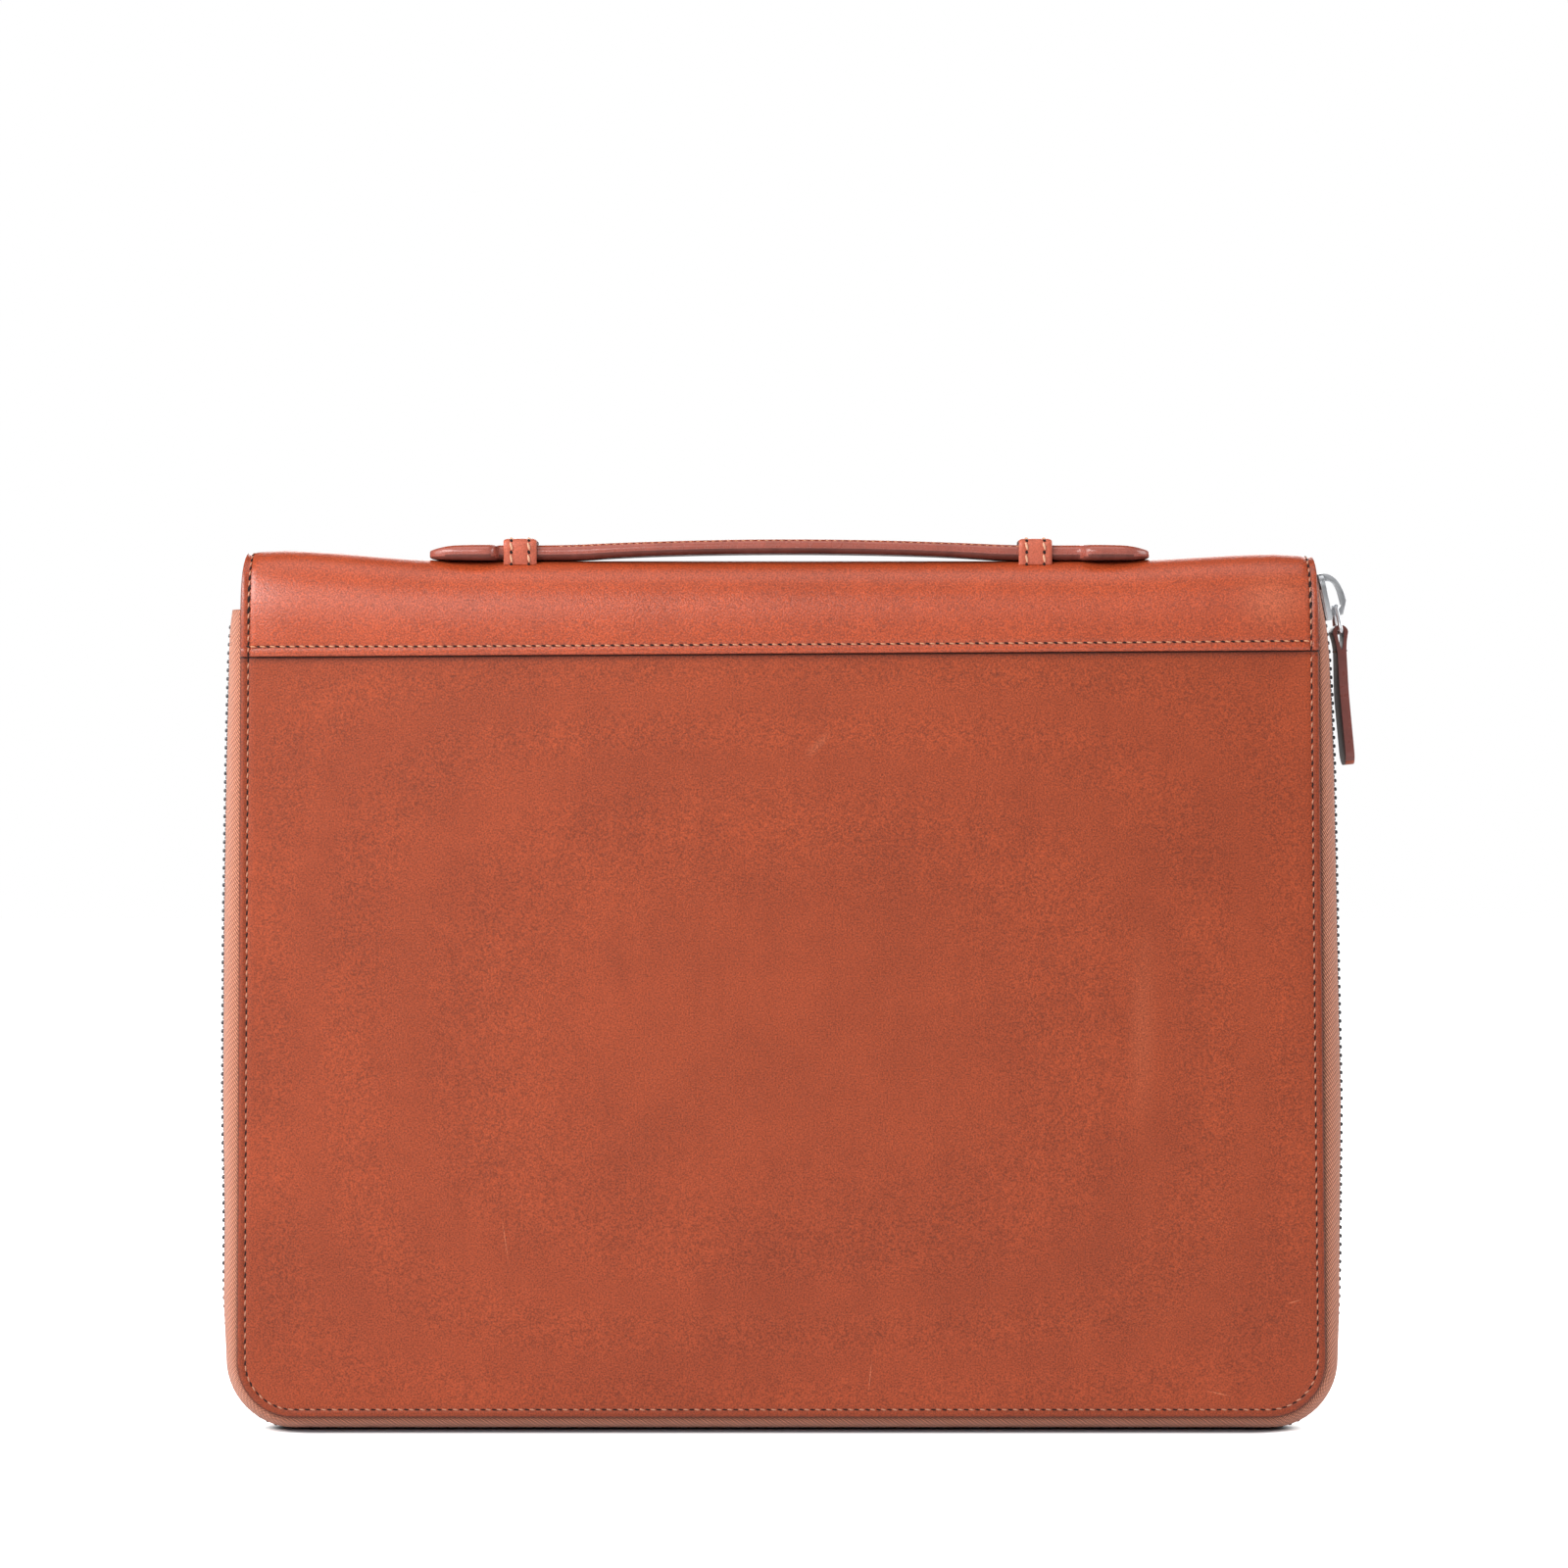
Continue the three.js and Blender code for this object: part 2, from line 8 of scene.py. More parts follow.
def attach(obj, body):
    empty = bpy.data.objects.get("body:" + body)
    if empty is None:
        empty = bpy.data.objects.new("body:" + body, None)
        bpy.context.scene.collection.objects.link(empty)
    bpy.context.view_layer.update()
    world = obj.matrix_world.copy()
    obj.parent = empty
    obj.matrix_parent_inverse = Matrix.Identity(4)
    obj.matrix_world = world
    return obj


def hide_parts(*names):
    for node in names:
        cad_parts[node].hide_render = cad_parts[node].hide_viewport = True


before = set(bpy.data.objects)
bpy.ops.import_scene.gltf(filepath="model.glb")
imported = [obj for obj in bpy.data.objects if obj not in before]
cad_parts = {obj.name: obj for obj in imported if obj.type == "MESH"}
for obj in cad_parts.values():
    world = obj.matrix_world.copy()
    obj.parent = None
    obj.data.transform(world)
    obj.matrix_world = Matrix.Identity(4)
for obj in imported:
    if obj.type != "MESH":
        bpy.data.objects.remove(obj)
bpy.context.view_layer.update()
scene = bpy.context.scene
mm = 0.001
print("frame loaded")

# camera: level, square to the front cover, 1.6 m away
view = dict(x=0.74, distance=1600.0, height=195.0, sensor=36.0, frameWidth=475.2)
cameraData = bpy.data.cameras.new("studioCamera")
cameraData.sensor_width = view["sensor"]
cameraData.lens = view["sensor"] * view["distance"] / view["frameWidth"]
cameraData.clip_end = 50
studioCamera = bpy.data.objects.new("studioCamera", cameraData)
studioCamera.location = (view["x"] * mm, -view["distance"] * mm, view["height"] * mm)
studioCamera.rotation_euler = (math.radians(90), 0, 0)
scene.collection.objects.link(studioCamera)
scene.camera = studioCamera
scene.view_settings.view_transform = "Standard"


# node helpers
def addNode(tree, kind, **settings):
    node = tree.nodes.new(kind)
    for name, value in settings.items():
        setattr(node, name, value)
    return node


def feed(tree, source, target):
    tree.links.new(source, target)


def put(node, **values):
    for name, value in values.items():
        node.inputs[name.replace("_", " ")].default_value = value
    return node


def newMaterial(name):
    material = bpy.data.materials.new(name)
    material.use_nodes = True
    tree = material.node_tree
    tree.nodes.clear()
    shader = addNode(tree, "ShaderNodeBsdfPrincipled")
    output = addNode(tree, "ShaderNodeOutputMaterial")
    feed(tree, shader.outputs["BSDF"], output.inputs["Surface"])
    return material, tree, shader


def newGroup(name, inputs, outputs):
    group = bpy.data.node_groups.new(name, "ShaderNodeTree")
    for label, kind, value in inputs:
        socket = group.interface.new_socket(name=label, in_out="INPUT", socket_type=kind)
        socket.default_value = value
    for label, kind in outputs:
        group.interface.new_socket(name=label, in_out="OUTPUT", socket_type=kind)
    entry = addNode(group, "NodeGroupInput")
    result = addNode(group, "NodeGroupOutput")
    return group, entry, result


def useGroup(tree, group, **values):
    node = addNode(tree, "ShaderNodeGroup", node_tree=group)
    return put(node, **values)


def calc(tree, operation, first, second=None):
    node = addNode(tree, "ShaderNodeMath", operation=operation)
    for socket, value in zip(node.inputs, (first, second)):
        if value is None:
            continue
        if isinstance(value, (int, float)):
            socket.default_value = value
        else:
            feed(tree, value, socket)
    return node.outputs[0]


def mixColours(tree, factor, first, second, blend="MIX"):
    node = addNode(tree, "ShaderNodeMix", data_type="RGBA", blend_type=blend)
    for index, value in ((0, factor), (6, first), (7, second)):
        if isinstance(value, (int, float, tuple)):
            node.inputs[index].default_value = value
        else:
            feed(tree, value, node.inputs[index])
    return node.outputs[2]


def colour(red, green, blue):
    return (red, green, blue, 1.0)


def objectPlace(tree):
    return addNode(tree, "ShaderNodeTexCoord").outputs["Object"]


def noise(tree, place, **values):
    node = put(addNode(tree, "ShaderNodeTexNoise"), **values)
    feed(tree, place, node.inputs["Vector"])
    return node


def spread(tree, value, smooth=False, **limits):
    # a value between the From limits, laid out between the To limits
    node = addNode(tree, "ShaderNodeMapRange", interpolation_type="SMOOTHSTEP" if smooth else "LINEAR")
    put(node, **limits)
    feed(tree, value, node.inputs["Value"])
    return node.outputs[0]


def addBump(tree, shader, height, strength, distance):
    lift = put(addNode(tree, "ShaderNodeBump"), Strength=strength, Distance=distance)
    feed(tree, height, lift.inputs["Height"])
    feed(tree, lift.outputs[0], shader.inputs["Normal"])


# grain shared by every leather: cloudy tone, pores and the height for a bump
def makeGrainGroup():
    group, entry, result = newGroup(
        "leatherGrain",
        [
            ("Pore Scale", "NodeSocketFloat", 2200.0),
            ("Cloud Scale", "NodeSocketFloat", 26.0),
            ("Streak", "NodeSocketFloat", 0.35),
        ],
        [("Cloud", "NodeSocketFloat"), ("Pore", "NodeSocketFloat"), ("Height", "NodeSocketFloat")],
    )
    place = objectPlace(group)
    cloud = noise(group, place, Detail=4.0, Roughness=0.55)
    feed(group, entry.outputs["Cloud Scale"], cloud.inputs["Scale"])
    # long faint streaks down the hide
    tall = addNode(group, "ShaderNodeMapping")
    tall.inputs["Scale"].default_value = (150.0, 150.0, 14.0)
    feed(group, place, tall.inputs["Vector"])
    streak = noise(group, tall.outputs[0], Scale=1.0, Detail=3.0)
    lean = calc(group, "SUBTRACT", streak.outputs[0], 0.5)
    lean = calc(group, "MULTIPLY", lean, entry.outputs["Streak"])
    # soft mottling, a few millimetres across
    mottle = noise(group, place, Scale=170.0, Detail=2.0)
    patch = calc(group, "MULTIPLY", calc(group, "SUBTRACT", mottle.outputs[0], 0.5), 0.35)
    tones = calc(group, "ADD", calc(group, "ADD", cloud.outputs[0], lean), patch)
    feed(group, tones, result.inputs["Cloud"])
    pore = noise(group, place, Detail=2.0, Roughness=0.5)
    feed(group, entry.outputs["Pore Scale"], pore.inputs["Scale"])
    feed(group, pore.outputs[0], result.inputs["Pore"])
    pebble = addNode(group, "ShaderNodeTexVoronoi", feature="SMOOTH_F1")
    feed(group, place, pebble.inputs["Vector"])
    feed(group, calc(group, "MULTIPLY", entry.outputs["Pore Scale"], 1.25), pebble.inputs["Scale"])
    height = calc(group, "MULTIPLY", pebble.outputs["Distance"], -0.7)
    feed(group, calc(group, "ADD", height, pore.outputs[0]), result.inputs["Height"])
    return group


grainGroup = makeGrainGroup()


# one mark, for worn places and for a patch of painted sheen: a soft stroke of a given length and width, lying
# square to the front
def makeMarkGroup():
    group, entry, result = newGroup(
        "wearAndSheenMark",
        [
            ("Centre", "NodeSocketVector", (0.0, 0.0, 0.0)),
            ("Along", "NodeSocketVector", (1.0, 0.0, 0.0)),
            ("Length", "NodeSocketFloat", 0.004),
            ("Width", "NodeSocketFloat", 0.0003),
        ],
        [("Mask", "NodeSocketFloat")],
    )
    place = objectPlace(group)
    away = addNode(group, "ShaderNodeVectorMath", operation="SUBTRACT")
    feed(group, place, away.inputs[0])
    feed(group, entry.outputs["Centre"], away.inputs[1])
    square = addNode(group, "ShaderNodeVectorMath", operation="CROSS_PRODUCT")
    feed(group, entry.outputs["Along"], square.inputs[0])
    square.inputs[1].default_value = (0.0, 1.0, 0.0)
    fades = []
    for direction, reach in ((entry.outputs["Along"], "Length"), (square.outputs[0], "Width")):
        reading = addNode(group, "ShaderNodeVectorMath", operation="DOT_PRODUCT")
        feed(group, away.outputs[0], reading.inputs[0])
        feed(group, direction, reading.inputs[1])
        share = calc(group, "DIVIDE", calc(group, "ABSOLUTE", reading.outputs["Value"]), entry.outputs[reach])
        fades.append(spread(group, share, smooth=True, To_Min=1.0, To_Max=0.0))
    feed(group, calc(group, "MULTIPLY", *fades), result.inputs["Mask"])
    return group


markGroup = makeMarkGroup()


def makeLeather(
    name, dark, light, roughness, poreScale=2000.0, streak=0.3, bump=0.16, speckle=0.5, specular=0.4, marks=()
):
    material, tree, shader = newMaterial(name)
    grain = useGroup(tree, grainGroup, Pore_Scale=poreScale, Streak=streak)
    cloud = spread(tree, grain.outputs["Cloud"], smooth=True, From_Min=0.25, From_Max=0.75)
    tone = mixColours(tree, cloud, dark, light)
    # darker on the strip outside the sewing, with painted shade where its turned edge rounds away
    rim = addNode(tree, "ShaderNodeAttribute", attribute_name="rim")
    deep = tuple(0.5 * channel for channel in dark[:3]) + (1.0,)
    tone = mixColours(tree, rim.outputs["Fac"], tone, deep)
    # and painted shade: nearly black in the crease under the hem and on the crest under the handle
    paintedShade = addNode(tree, "ShaderNodeAttribute", attribute_name="paintedShade")
    tone = mixColours(tree, paintedShade.outputs["Fac"], tone, colour(0.03, 0.007, 0.006))
    for centre, along, length, width, strength in marks:
        mark = useGroup(tree, markGroup, Centre=centre, Along=along, Length=length, Width=width)
        # pale for rubbed wear, and for the painted sheen on the spine
        paleWearAndSheen = colour(0.62, 0.2, 0.1) if strength > 0 else colour(0.03, 0.006, 0.004)
        tone = mixColours(tree, calc(tree, "MULTIPLY", mark.outputs["Mask"], abs(strength)), tone, paleWearAndSheen)
    pale, deepest = 1 + speckle, 1 - 0.8 * speckle
    speck = spread(tree, grain.outputs["Pore"], From_Min=0.3, From_Max=0.72, To_Min=deepest, To_Max=pale)
    shade = addNode(tree, "ShaderNodeVectorMath", operation="SCALE")
    feed(tree, tone, shade.inputs[0])
    feed(tree, speck, shade.inputs["Scale"])
    feed(tree, shade.outputs[0], shader.inputs["Base Color"])
    gloss = spread(tree, grain.outputs["Pore"], To_Min=roughness + 0.1, To_Max=roughness - 0.1)
    feed(tree, gloss, shader.inputs["Roughness"])
    put(shader, Specular_IOR_Level=specular)
    addBump(tree, shader, grain.outputs["Height"], bump, 0.0005)
    return material


# centre, direction, half-length, half-width and strength: pale above 0 (rubbed wear on the front, painted
# sheen on the spine), a dark speck below
frontMarks = [
    ((0.1542, 0.0, 0.0394), (0.96, 0.0, 0.27), 0.0026, 0.0003, 0.7),
    ((0.1314, 0.0, 0.0118), (0.976, 0.0, -0.217), 0.0046, 0.0003, 0.6),
    ((0.0266, 0.0, 0.0168), (0.1, 0.0, 0.995), 0.006, 0.0003, 0.55),
    ((-0.083, 0.0, 0.058), (0.15, 0.0, -0.99), 0.008, 0.0003, 0.5),
    ((0.1083, 0.0, 0.1215), (0.02, 0.0, 1.0), 0.04, 0.006, 0.1),
    ((0.011, 0.0, 0.2068), (0.7, 0.0, 0.7), 0.007, 0.002, 0.2),
    ((-0.034, 0.0, 0.1714), (1.0, 0.0, 0.0), 0.0008, 0.0005, -0.7),
    ((0.1374, 0.0, 0.0147), (1.0, 0.0, 0.0), 0.0006, 0.0006, -0.7),
    ((0.1354, 0.0, 0.02), (1.0, 0.0, 0.0), 0.0005, 0.0005, -0.6),
]
# painted sheen: a pale patch on the band's right end that stands in for its highlight
spineSheenMarks = [
    ((0.148, 0.0, 0.25), (0.0, 0.0, 1.0), 0.013, 0.016, 0.24),
]
cognac = dict(dark=colour(0.275, 0.044, 0.0128), light=colour(0.329, 0.054, 0.0158), roughness=0.4)
# the band: glossier leather than the covers, its colour painted lighter to stand in for the light its
# turned-over face catches
polishedAndLit = dict(
    dark=colour(0.36, 0.0545, 0.0158), light=colour(0.43, 0.0665, 0.019), roughness=0.32, specular=0.66
)
painted = dict(poreScale=500.0, bump=0.05)  # edges that are filled and polished smooth
caseLeather = makeLeather("caseLeather", **cognac)
spineLeather = makeLeather("spineLeather", marks=spineSheenMarks, **polishedAndLit)
frontLeather = makeLeather("frontLeather", marks=frontMarks, **cognac)
keeperLeather = makeLeather(
    "keeperLeather", colour(0.445, 0.098, 0.053), colour(0.545, 0.125, 0.07), 0.42, speckle=0.22
)
# near-black: painted shade for the tab's inner face turned towards the case
tabShadedBack = makeLeather(
    "tabShadedBack", colour(0.03, 0.011, 0.009), colour(0.055, 0.02, 0.016), 0.36, bump=0.05, speckle=0.1
)
edgePaint = makeLeather(
    "edgePaint", colour(0.1, 0.025, 0.018), colour(0.17, 0.045, 0.033), 0.4, speckle=0.12, **painted
)
strapEdge = makeLeather(
    "strapEdge", colour(0.29, 0.072, 0.05), colour(0.37, 0.098, 0.07), 0.27, streak=0.0, speckle=0.1,
    specular=0.6, **painted,
)
tabEdge = makeLeather(
    "tabEdge", colour(0.15, 0.046, 0.038), colour(0.2, 0.062, 0.052), 0.3, streak=0.0, speckle=0.1, **painted
)
print("leathers ready")


# woven zip tape: steep diagonal ribs of beaded yarn, with painted shade where the tape dives under the
# leather
twill = dict(pitch=1.25, steepness=1.6, bead=1.7, beadSlope=-0.8, shade=(0.1, 1.3), standingShade=(0.0003, 0.0014))


def makeTwill():
    material, tree, shader = newMaterial("tapeTwill")
    woven = addNode(tree, "ShaderNodeUVMap", uv_map="weave")
    split = addNode(tree, "ShaderNodeSeparateXYZ")
    feed(tree, woven.outputs[0], split.inputs[0])
    across, along = split.outputs[0], split.outputs[1]

    def wave(first, firstShare, second, pitch):
        reading = calc(tree, "ADD", calc(tree, "MULTIPLY", first, firstShare), second)
        swing = calc(tree, "SINE", calc(tree, "MULTIPLY", reading, 2 * math.pi / pitch))
        return calc(tree, "MULTIPLY", calc(tree, "ADD", swing, 1.0), 0.5)

    rib = wave(across, twill["steepness"], along, twill["pitch"])
    bead = wave(across, twill["beadSlope"], along, twill["bead"])
    height = calc(tree, "ADD", rib, calc(tree, "MULTIPLY", bead, 0.35))
    yarn = calc(tree, "MULTIPLY", rib, calc(tree, "ADD", calc(tree, "MULTIPLY", bead, 0.45), 0.55))
    tone = mixColours(tree, yarn, colour(0.17, 0.041, 0.022), colour(0.98, 0.388, 0.234))
    near, far = twill["shade"]
    shade = spread(tree, across, smooth=True, From_Min=near, From_Max=far, To_Min=0.65, To_Max=0.0)
    tone = mixColours(tree, shade, tone, colour(0.075, 0.035, 0.027))
    # painted contact shade, darker low down where it stands
    place = objectPlace(tree)
    upright = addNode(tree, "ShaderNodeSeparateXYZ")
    feed(tree, place, upright.inputs[0])
    low, high = twill["standingShade"]
    standingShade = spread(tree, upright.outputs[2], smooth=True, From_Min=low, From_Max=high, To_Min=0.15, To_Max=0.0)
    tone = mixColours(tree, standingShade, tone, colour(0.03, 0.018, 0.018))
    fleck = noise(tree, place, Scale=700.0, Detail=2.0)
    tone = mixColours(tree, calc(tree, "MULTIPLY", fleck.outputs[0], 0.2), tone, colour(0.6, 0.27, 0.16))
    feed(tree, tone, shader.inputs["Base Color"])
    put(shader, Roughness=0.85, Sheen_Weight=0.25)
    addBump(tree, shader, height, 0.7, 0.0003)
    return material


def makeMetal(name, dark, light, roughness, scale):
    # plated metal with faint handling marks
    material, tree, shader = newMaterial(name)
    marks = noise(tree, objectPlace(tree), Scale=scale, Detail=4.0, Roughness=0.65).outputs[0]
    feed(tree, mixColours(tree, marks, dark, light), shader.inputs["Base Color"])
    put(shader, Metallic=1.0)
    gloss = spread(tree, marks, To_Min=roughness - 0.08, To_Max=roughness + 0.1)
    feed(tree, gloss, shader.inputs["Roughness"])
    return material


def makeThread(name, dark, light):
    # waxed linen, twisted
    material, tree, shader = newMaterial(name)
    ply = noise(tree, objectPlace(tree), Scale=2600.0, Detail=2.0).outputs[0]
    feed(tree, mixColours(tree, ply, dark, light), shader.inputs["Base Color"])
    put(shader, Roughness=0.6)
    addBump(tree, shader, ply, 0.3, 0.0002)
    return material


def makeNeedleHole():
    # near-black: painted shade inside the needle holes
    material, tree, shader = newMaterial("needleHole")
    fray = noise(tree, objectPlace(tree), Scale=1800.0).outputs[0]
    dark = mixColours(tree, fray, colour(0.005, 0.002, 0.002), colour(0.018, 0.006, 0.005))
    feed(tree, dark, shader.inputs["Base Color"])
    put(shader, Roughness=0.9)
    return material


tapeTwill = makeTwill()
nickelPlate = makeMetal("nickelPlate", colour(0.5, 0.515, 0.545), colour(0.75, 0.765, 0.785), 0.32, 420.0)
toothMetal = makeMetal("toothMetal", colour(0.025, 0.025, 0.03), colour(0.15, 0.15, 0.16), 0.3, 900.0)
linenThread = makeThread("linenThread", colour(0.34, 0.12, 0.062), colour(0.6, 0.3, 0.19))
# the same linen painted lighter, as painted light on the raised hem stitches
litHemThread = makeThread("litHemThread", colour(0.42, 0.16, 0.08), colour(0.72, 0.36, 0.2))
keeperThread = makeThread("keeperThread", colour(0.5, 0.22, 0.12), colour(0.86, 0.52, 0.35))
needleHole = makeNeedleHole()
print("cloth, metal and thread ready")


# piece helpers
def toMesh(name, bm):
    mesh = bpy.data.meshes.new(name)
    bm.to_mesh(mesh)
    bm.free()
    return mesh


def addPiece(name, bm, materials, nodes=(), body="case"):
    mesh = toMesh(name, bm)
    for material in materials:
        mesh.materials.append(material)
    mesh.shade_smooth()
    piece = bpy.data.objects.new(name, mesh)
    scene.collection.objects.link(piece)
    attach(piece, body)
    if nodes:
        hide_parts(*nodes)
    return piece


def thicken(piece, wall):
    solid = piece.modifiers.new("wall", "SOLIDIFY")
    solid.thickness = wall * mm
    solid.offset = -1
    solid.use_even_offset = True
    solid.material_offset_rim = 1


def soften(piece, width, segments=2, angle=40):
    edge = piece.modifiers.new("softEdge", "BEVEL")
    edge.width = width * mm
    edge.segments = segments
    edge.limit_method = "ANGLE"
    edge.angle_limit = math.radians(angle)


def roundOff(piece, levels):
    smooth = piece.modifiers.new("round", "SUBSURF")
    smooth.levels = levels
    smooth.render_levels = levels


def sheetGrid(columns, rows, place):
    # a flat grid whose points are laid where place(column, row) puts them, in millimetres
    bm = bmesh.new()
    bmesh.ops.create_grid(bm, x_segments=columns, y_segments=rows, size=0.5)
    for vert in bm.verts:
        column = round((vert.co.x + 0.5) * columns)
        row = round((vert.co.y + 0.5) * rows)
        vert.co = Vector(place(column, row)) * mm
    return bm


def cutAcross(bm, spot, square):
    everything = bm.verts[:] + bm.edges[:] + bm.faces[:]
    bmesh.ops.bisect_plane(bm, geom=everything, plane_co=spot, plane_no=square)


def smoothStep(low, high, value):
    share = min(1.0, max(0.0, (value - low) / (high - low)))
    return share * share * (3 - 2 * share)


def lerp(low, high, share):
    return low + (high - low) * share


def readTable(table, at):
    # straight lines between rows of (place, value), sorted by place
    for (low, first), (high, second) in zip(table, table[1:]):
        if at <= high:
            return lerp(first, second, max(0.0, (at - low) / (high - low)))
    return table[-1][1]


def spreadAlong(points, pitch, start=0.5):
    # evenly spaced (point, direction) along a line of points
    lengths = [(b - a).length for a, b in zip(points, points[1:])]
    total = sum(lengths)
    count = max(1, round(total / pitch))
    spots = []
    for number in range(count):
        at = (number + start) * total / count
        for a, b, length in zip(points, points[1:], lengths):
            if at <= length:
                spots.append((a.lerp(b, at / length), (b - a).normalized()))
                break
            at -= length
    return spots


def edgeDrop(inside, drop, reach):
    # how far a rounded edge falls away
    return drop * max(0.0, 1 - inside / reach) ** 2


def seamGroove(inside, seam, deep, half):
    # how far the leather is drawn in along its sewing
    return deep * math.exp(-(((inside - seam) / half) ** 2))


# small repeated shapes are made once and stamped into one mesh
def makeBall(name, across, along, index):
    bm = bmesh.new()
    bmesh.ops.create_uvsphere(bm, u_segments=across, v_segments=along, radius=1.0)
    for face in bm.faces:
        face.material_index = index
    return toMesh(name, bm)


def stamp(bm, shape, matrix):
    copy = shape.copy()
    copy.transform(matrix)
    bm.from_mesh(copy)
    bpy.data.meshes.remove(copy)


# sewing: tan thread lying between needle holes, painted near-black as the shade inside them
sewing = dict(
    pitch=3.3, length=1.7, width=0.52, height=0.5, slant=-10.0, sway=4.0,
    holeLength=1.65, holeWidth=0.58, holeHeight=0.2, holeStart=0.02,
)
threadShape = makeBall("threadShape", 8, 8, 0)
holeShape = makeBall("holeShape", 8, 4, 1)


def sewSeam(bm, points, outward, size=1.0, hole=None, **changes):
    # changes are this seam's own values in place of the usual ones
    values = dict(sewing, **changes)
    pitch, slant, sway = values["pitch"] * mm, values["slant"], values["sway"]
    dice = random.Random(len(points))

    def lay(point, along, lengths):
        up = outward(point).normalized()
        along = (along - up * along.dot(up)).normalized()
        turned = Matrix((along, up.cross(along), up)).transposed().to_4x4()
        lean = Matrix.Rotation(math.radians(slant + dice.uniform(-sway, sway)), 4, "Z")
        half = Vector(lengths) * mm * size / 2
        return Matrix.Translation(point) @ turned @ lean @ Matrix.Diagonal((*half, 1))

    for point, along in spreadAlong(points, pitch):
        stamp(bm, threadShape, lay(point, along, (values["length"], values["width"], values["height"])))
    for point, along in spreadAlong(points, pitch, start=values["holeStart"]):
        wide = hole(point) if hole else 1.0
        lengths = (values["holeLength"] * wide, values["holeWidth"] * wide, values["holeHeight"])
        stamp(bm, holeShape, lay(point, along, lengths))


def addSewing(name, bm, body="case", thread=linenThread):
    addPiece(name, bm, [thread, needleHole], body=body)


# case outline, in millimetres
case = dict(halfWidthAtFloor=163.9, taper=0.0095, leftTaper=0.005, halfDepth=13.0, gap=0.3)


def halfWidthAt(height, side=1):
    # the leather leans in less on its left side
    return case["halfWidthAtFloor"] - case["leftTaper" if side < 0 else "taper"] * height


# covers: one leather face each, rounded at the lower corners, with a sewn rim
cover = dict(
    wall=2.4, low=4.5, top=239.0, radius=17.0, cornerSteps=14, crown=1.5, crownTop=236.0, cell=9.0,
    seam=2.4, seamHeights=(60, 120, 180), seamProud=0.06, groove=0.28, grooveHalf=0.55,
    edge=0.55, edgeRound=1.1,
)
rimRows = [0.25, 0.3, 0.45, 0.7, 0.4, 0.4, 0.4, 0.6, 1.2]  # steps in from the edge
hemRows = [0.0, 0.3, 0.55, 0.8, 1.4, 2.4]  # depths below the band's hem


def cornerCentre():
    z = cover["low"] + cover["radius"]
    return halfWidthAt(z) - cover["radius"], z


def edgeDistance(x, z):
    centreX, centreZ = cornerCentre()
    if z < centreZ and abs(x) > centreX:
        return cover["radius"] - math.hypot(abs(x) - centreX, z - centreZ)
    return min(halfWidthAt(z, x) - abs(x), z - cover["low"])


def coverDepth(x, z):
    middle = (cover["low"] + cover["crownTop"]) / 2
    up = min(1.0, abs(z - middle) / (cover["crownTop"] - middle))
    share = min(1.0, abs(x) / halfWidthAt(z, x))
    inside = max(0.0, edgeDistance(x, z))
    depth = case["halfDepth"] + cover["crown"] * (1 - share**3) * (1 - up**3)
    depth -= edgeDrop(inside, cover["edge"], cover["edgeRound"])
    depth -= seamGroove(inside, cover["seam"], cover["groove"], cover["grooveHalf"])
    return depth


def rimShade(inside, seam):
    # the strip outside the sewing is a little darker, and its turned edge darker still as painted shade
    return max(0.3 - 0.3 * smoothStep(seam - 0.4, seam + 0.4, inside), 1 - smoothStep(0.1, 0.75, inside))


def hemShade(under):
    # painted shade: nearly black in the crease under the hem, with a painted soft shadow below it
    return max(1 - smoothStep(0.25, 0.75, under), 0.3 - 0.3 * smoothStep(0.6, 2.4, under))


def makeCover(name, node, side):
    bm = bmesh.new()
    low, top = cover["low"], cover["top"]
    outline = [(-1, low), (1, low), (1, top), (-1, top)]
    corners = [bm.verts.new((hand * halfWidthAt(z, hand) * mm, 0, z * mm)) for hand, z in outline]
    bm.faces.new(corners)
    bmesh.ops.bevel(
        bm, geom=corners[:2], offset=cover["radius"] * mm, offset_type="OFFSET", affect="VERTICES",
        segments=cover["cornerSteps"], profile=0.5, material=-1,
    )
    for step in rimRows:
        widest = max(bm.faces, key=lambda face: face.calc_area())
        bmesh.ops.inset_region(
            bm, faces=[widest], thickness=step * mm, use_even_offset=True, use_boundary=True
        )
    for axis, reach in ((0, halfWidthAt(low)), (2, top)):
        count = round(reach / cover["cell"])
        for number in range(1 - count if axis == 0 else 1, count):
            spot = Vector()
            spot[axis] = number * reach / count * mm
            square = Vector()
            square[axis] = 1
            cutAcross(bm, spot, square)
    # close rows just under the hem, which slopes a little
    slope = (spine["lowRight"] - spine["lowLeft"]) / (2 * halfWidthAt(top))
    for under in hemRows:
        cutAcross(bm, Vector((0, 0, (spineLowAt(0) - under) * mm)), Vector((-slope, 0, 1)))
    rim = bm.verts.layers.float.new("rim")
    paintedShade = bm.verts.layers.float.new("paintedShade")
    for vert in bm.verts:
        x, z = vert.co.x / mm, vert.co.z / mm
        vert[paintedShade] = hemShade(spineLowAt(x) - z)
        vert[rim] = rimShade(edgeDistance(x, z), cover["seam"])
        vert.co.y = side * coverDepth(x, z) * mm
    if side > 0:
        bmesh.ops.reverse_faces(bm, faces=bm.faces[:])
    leather = frontLeather if side < 0 else caseLeather
    piece = addPiece(name, bm, [leather, edgePaint], [node])
    thicken(piece, cover["wall"])


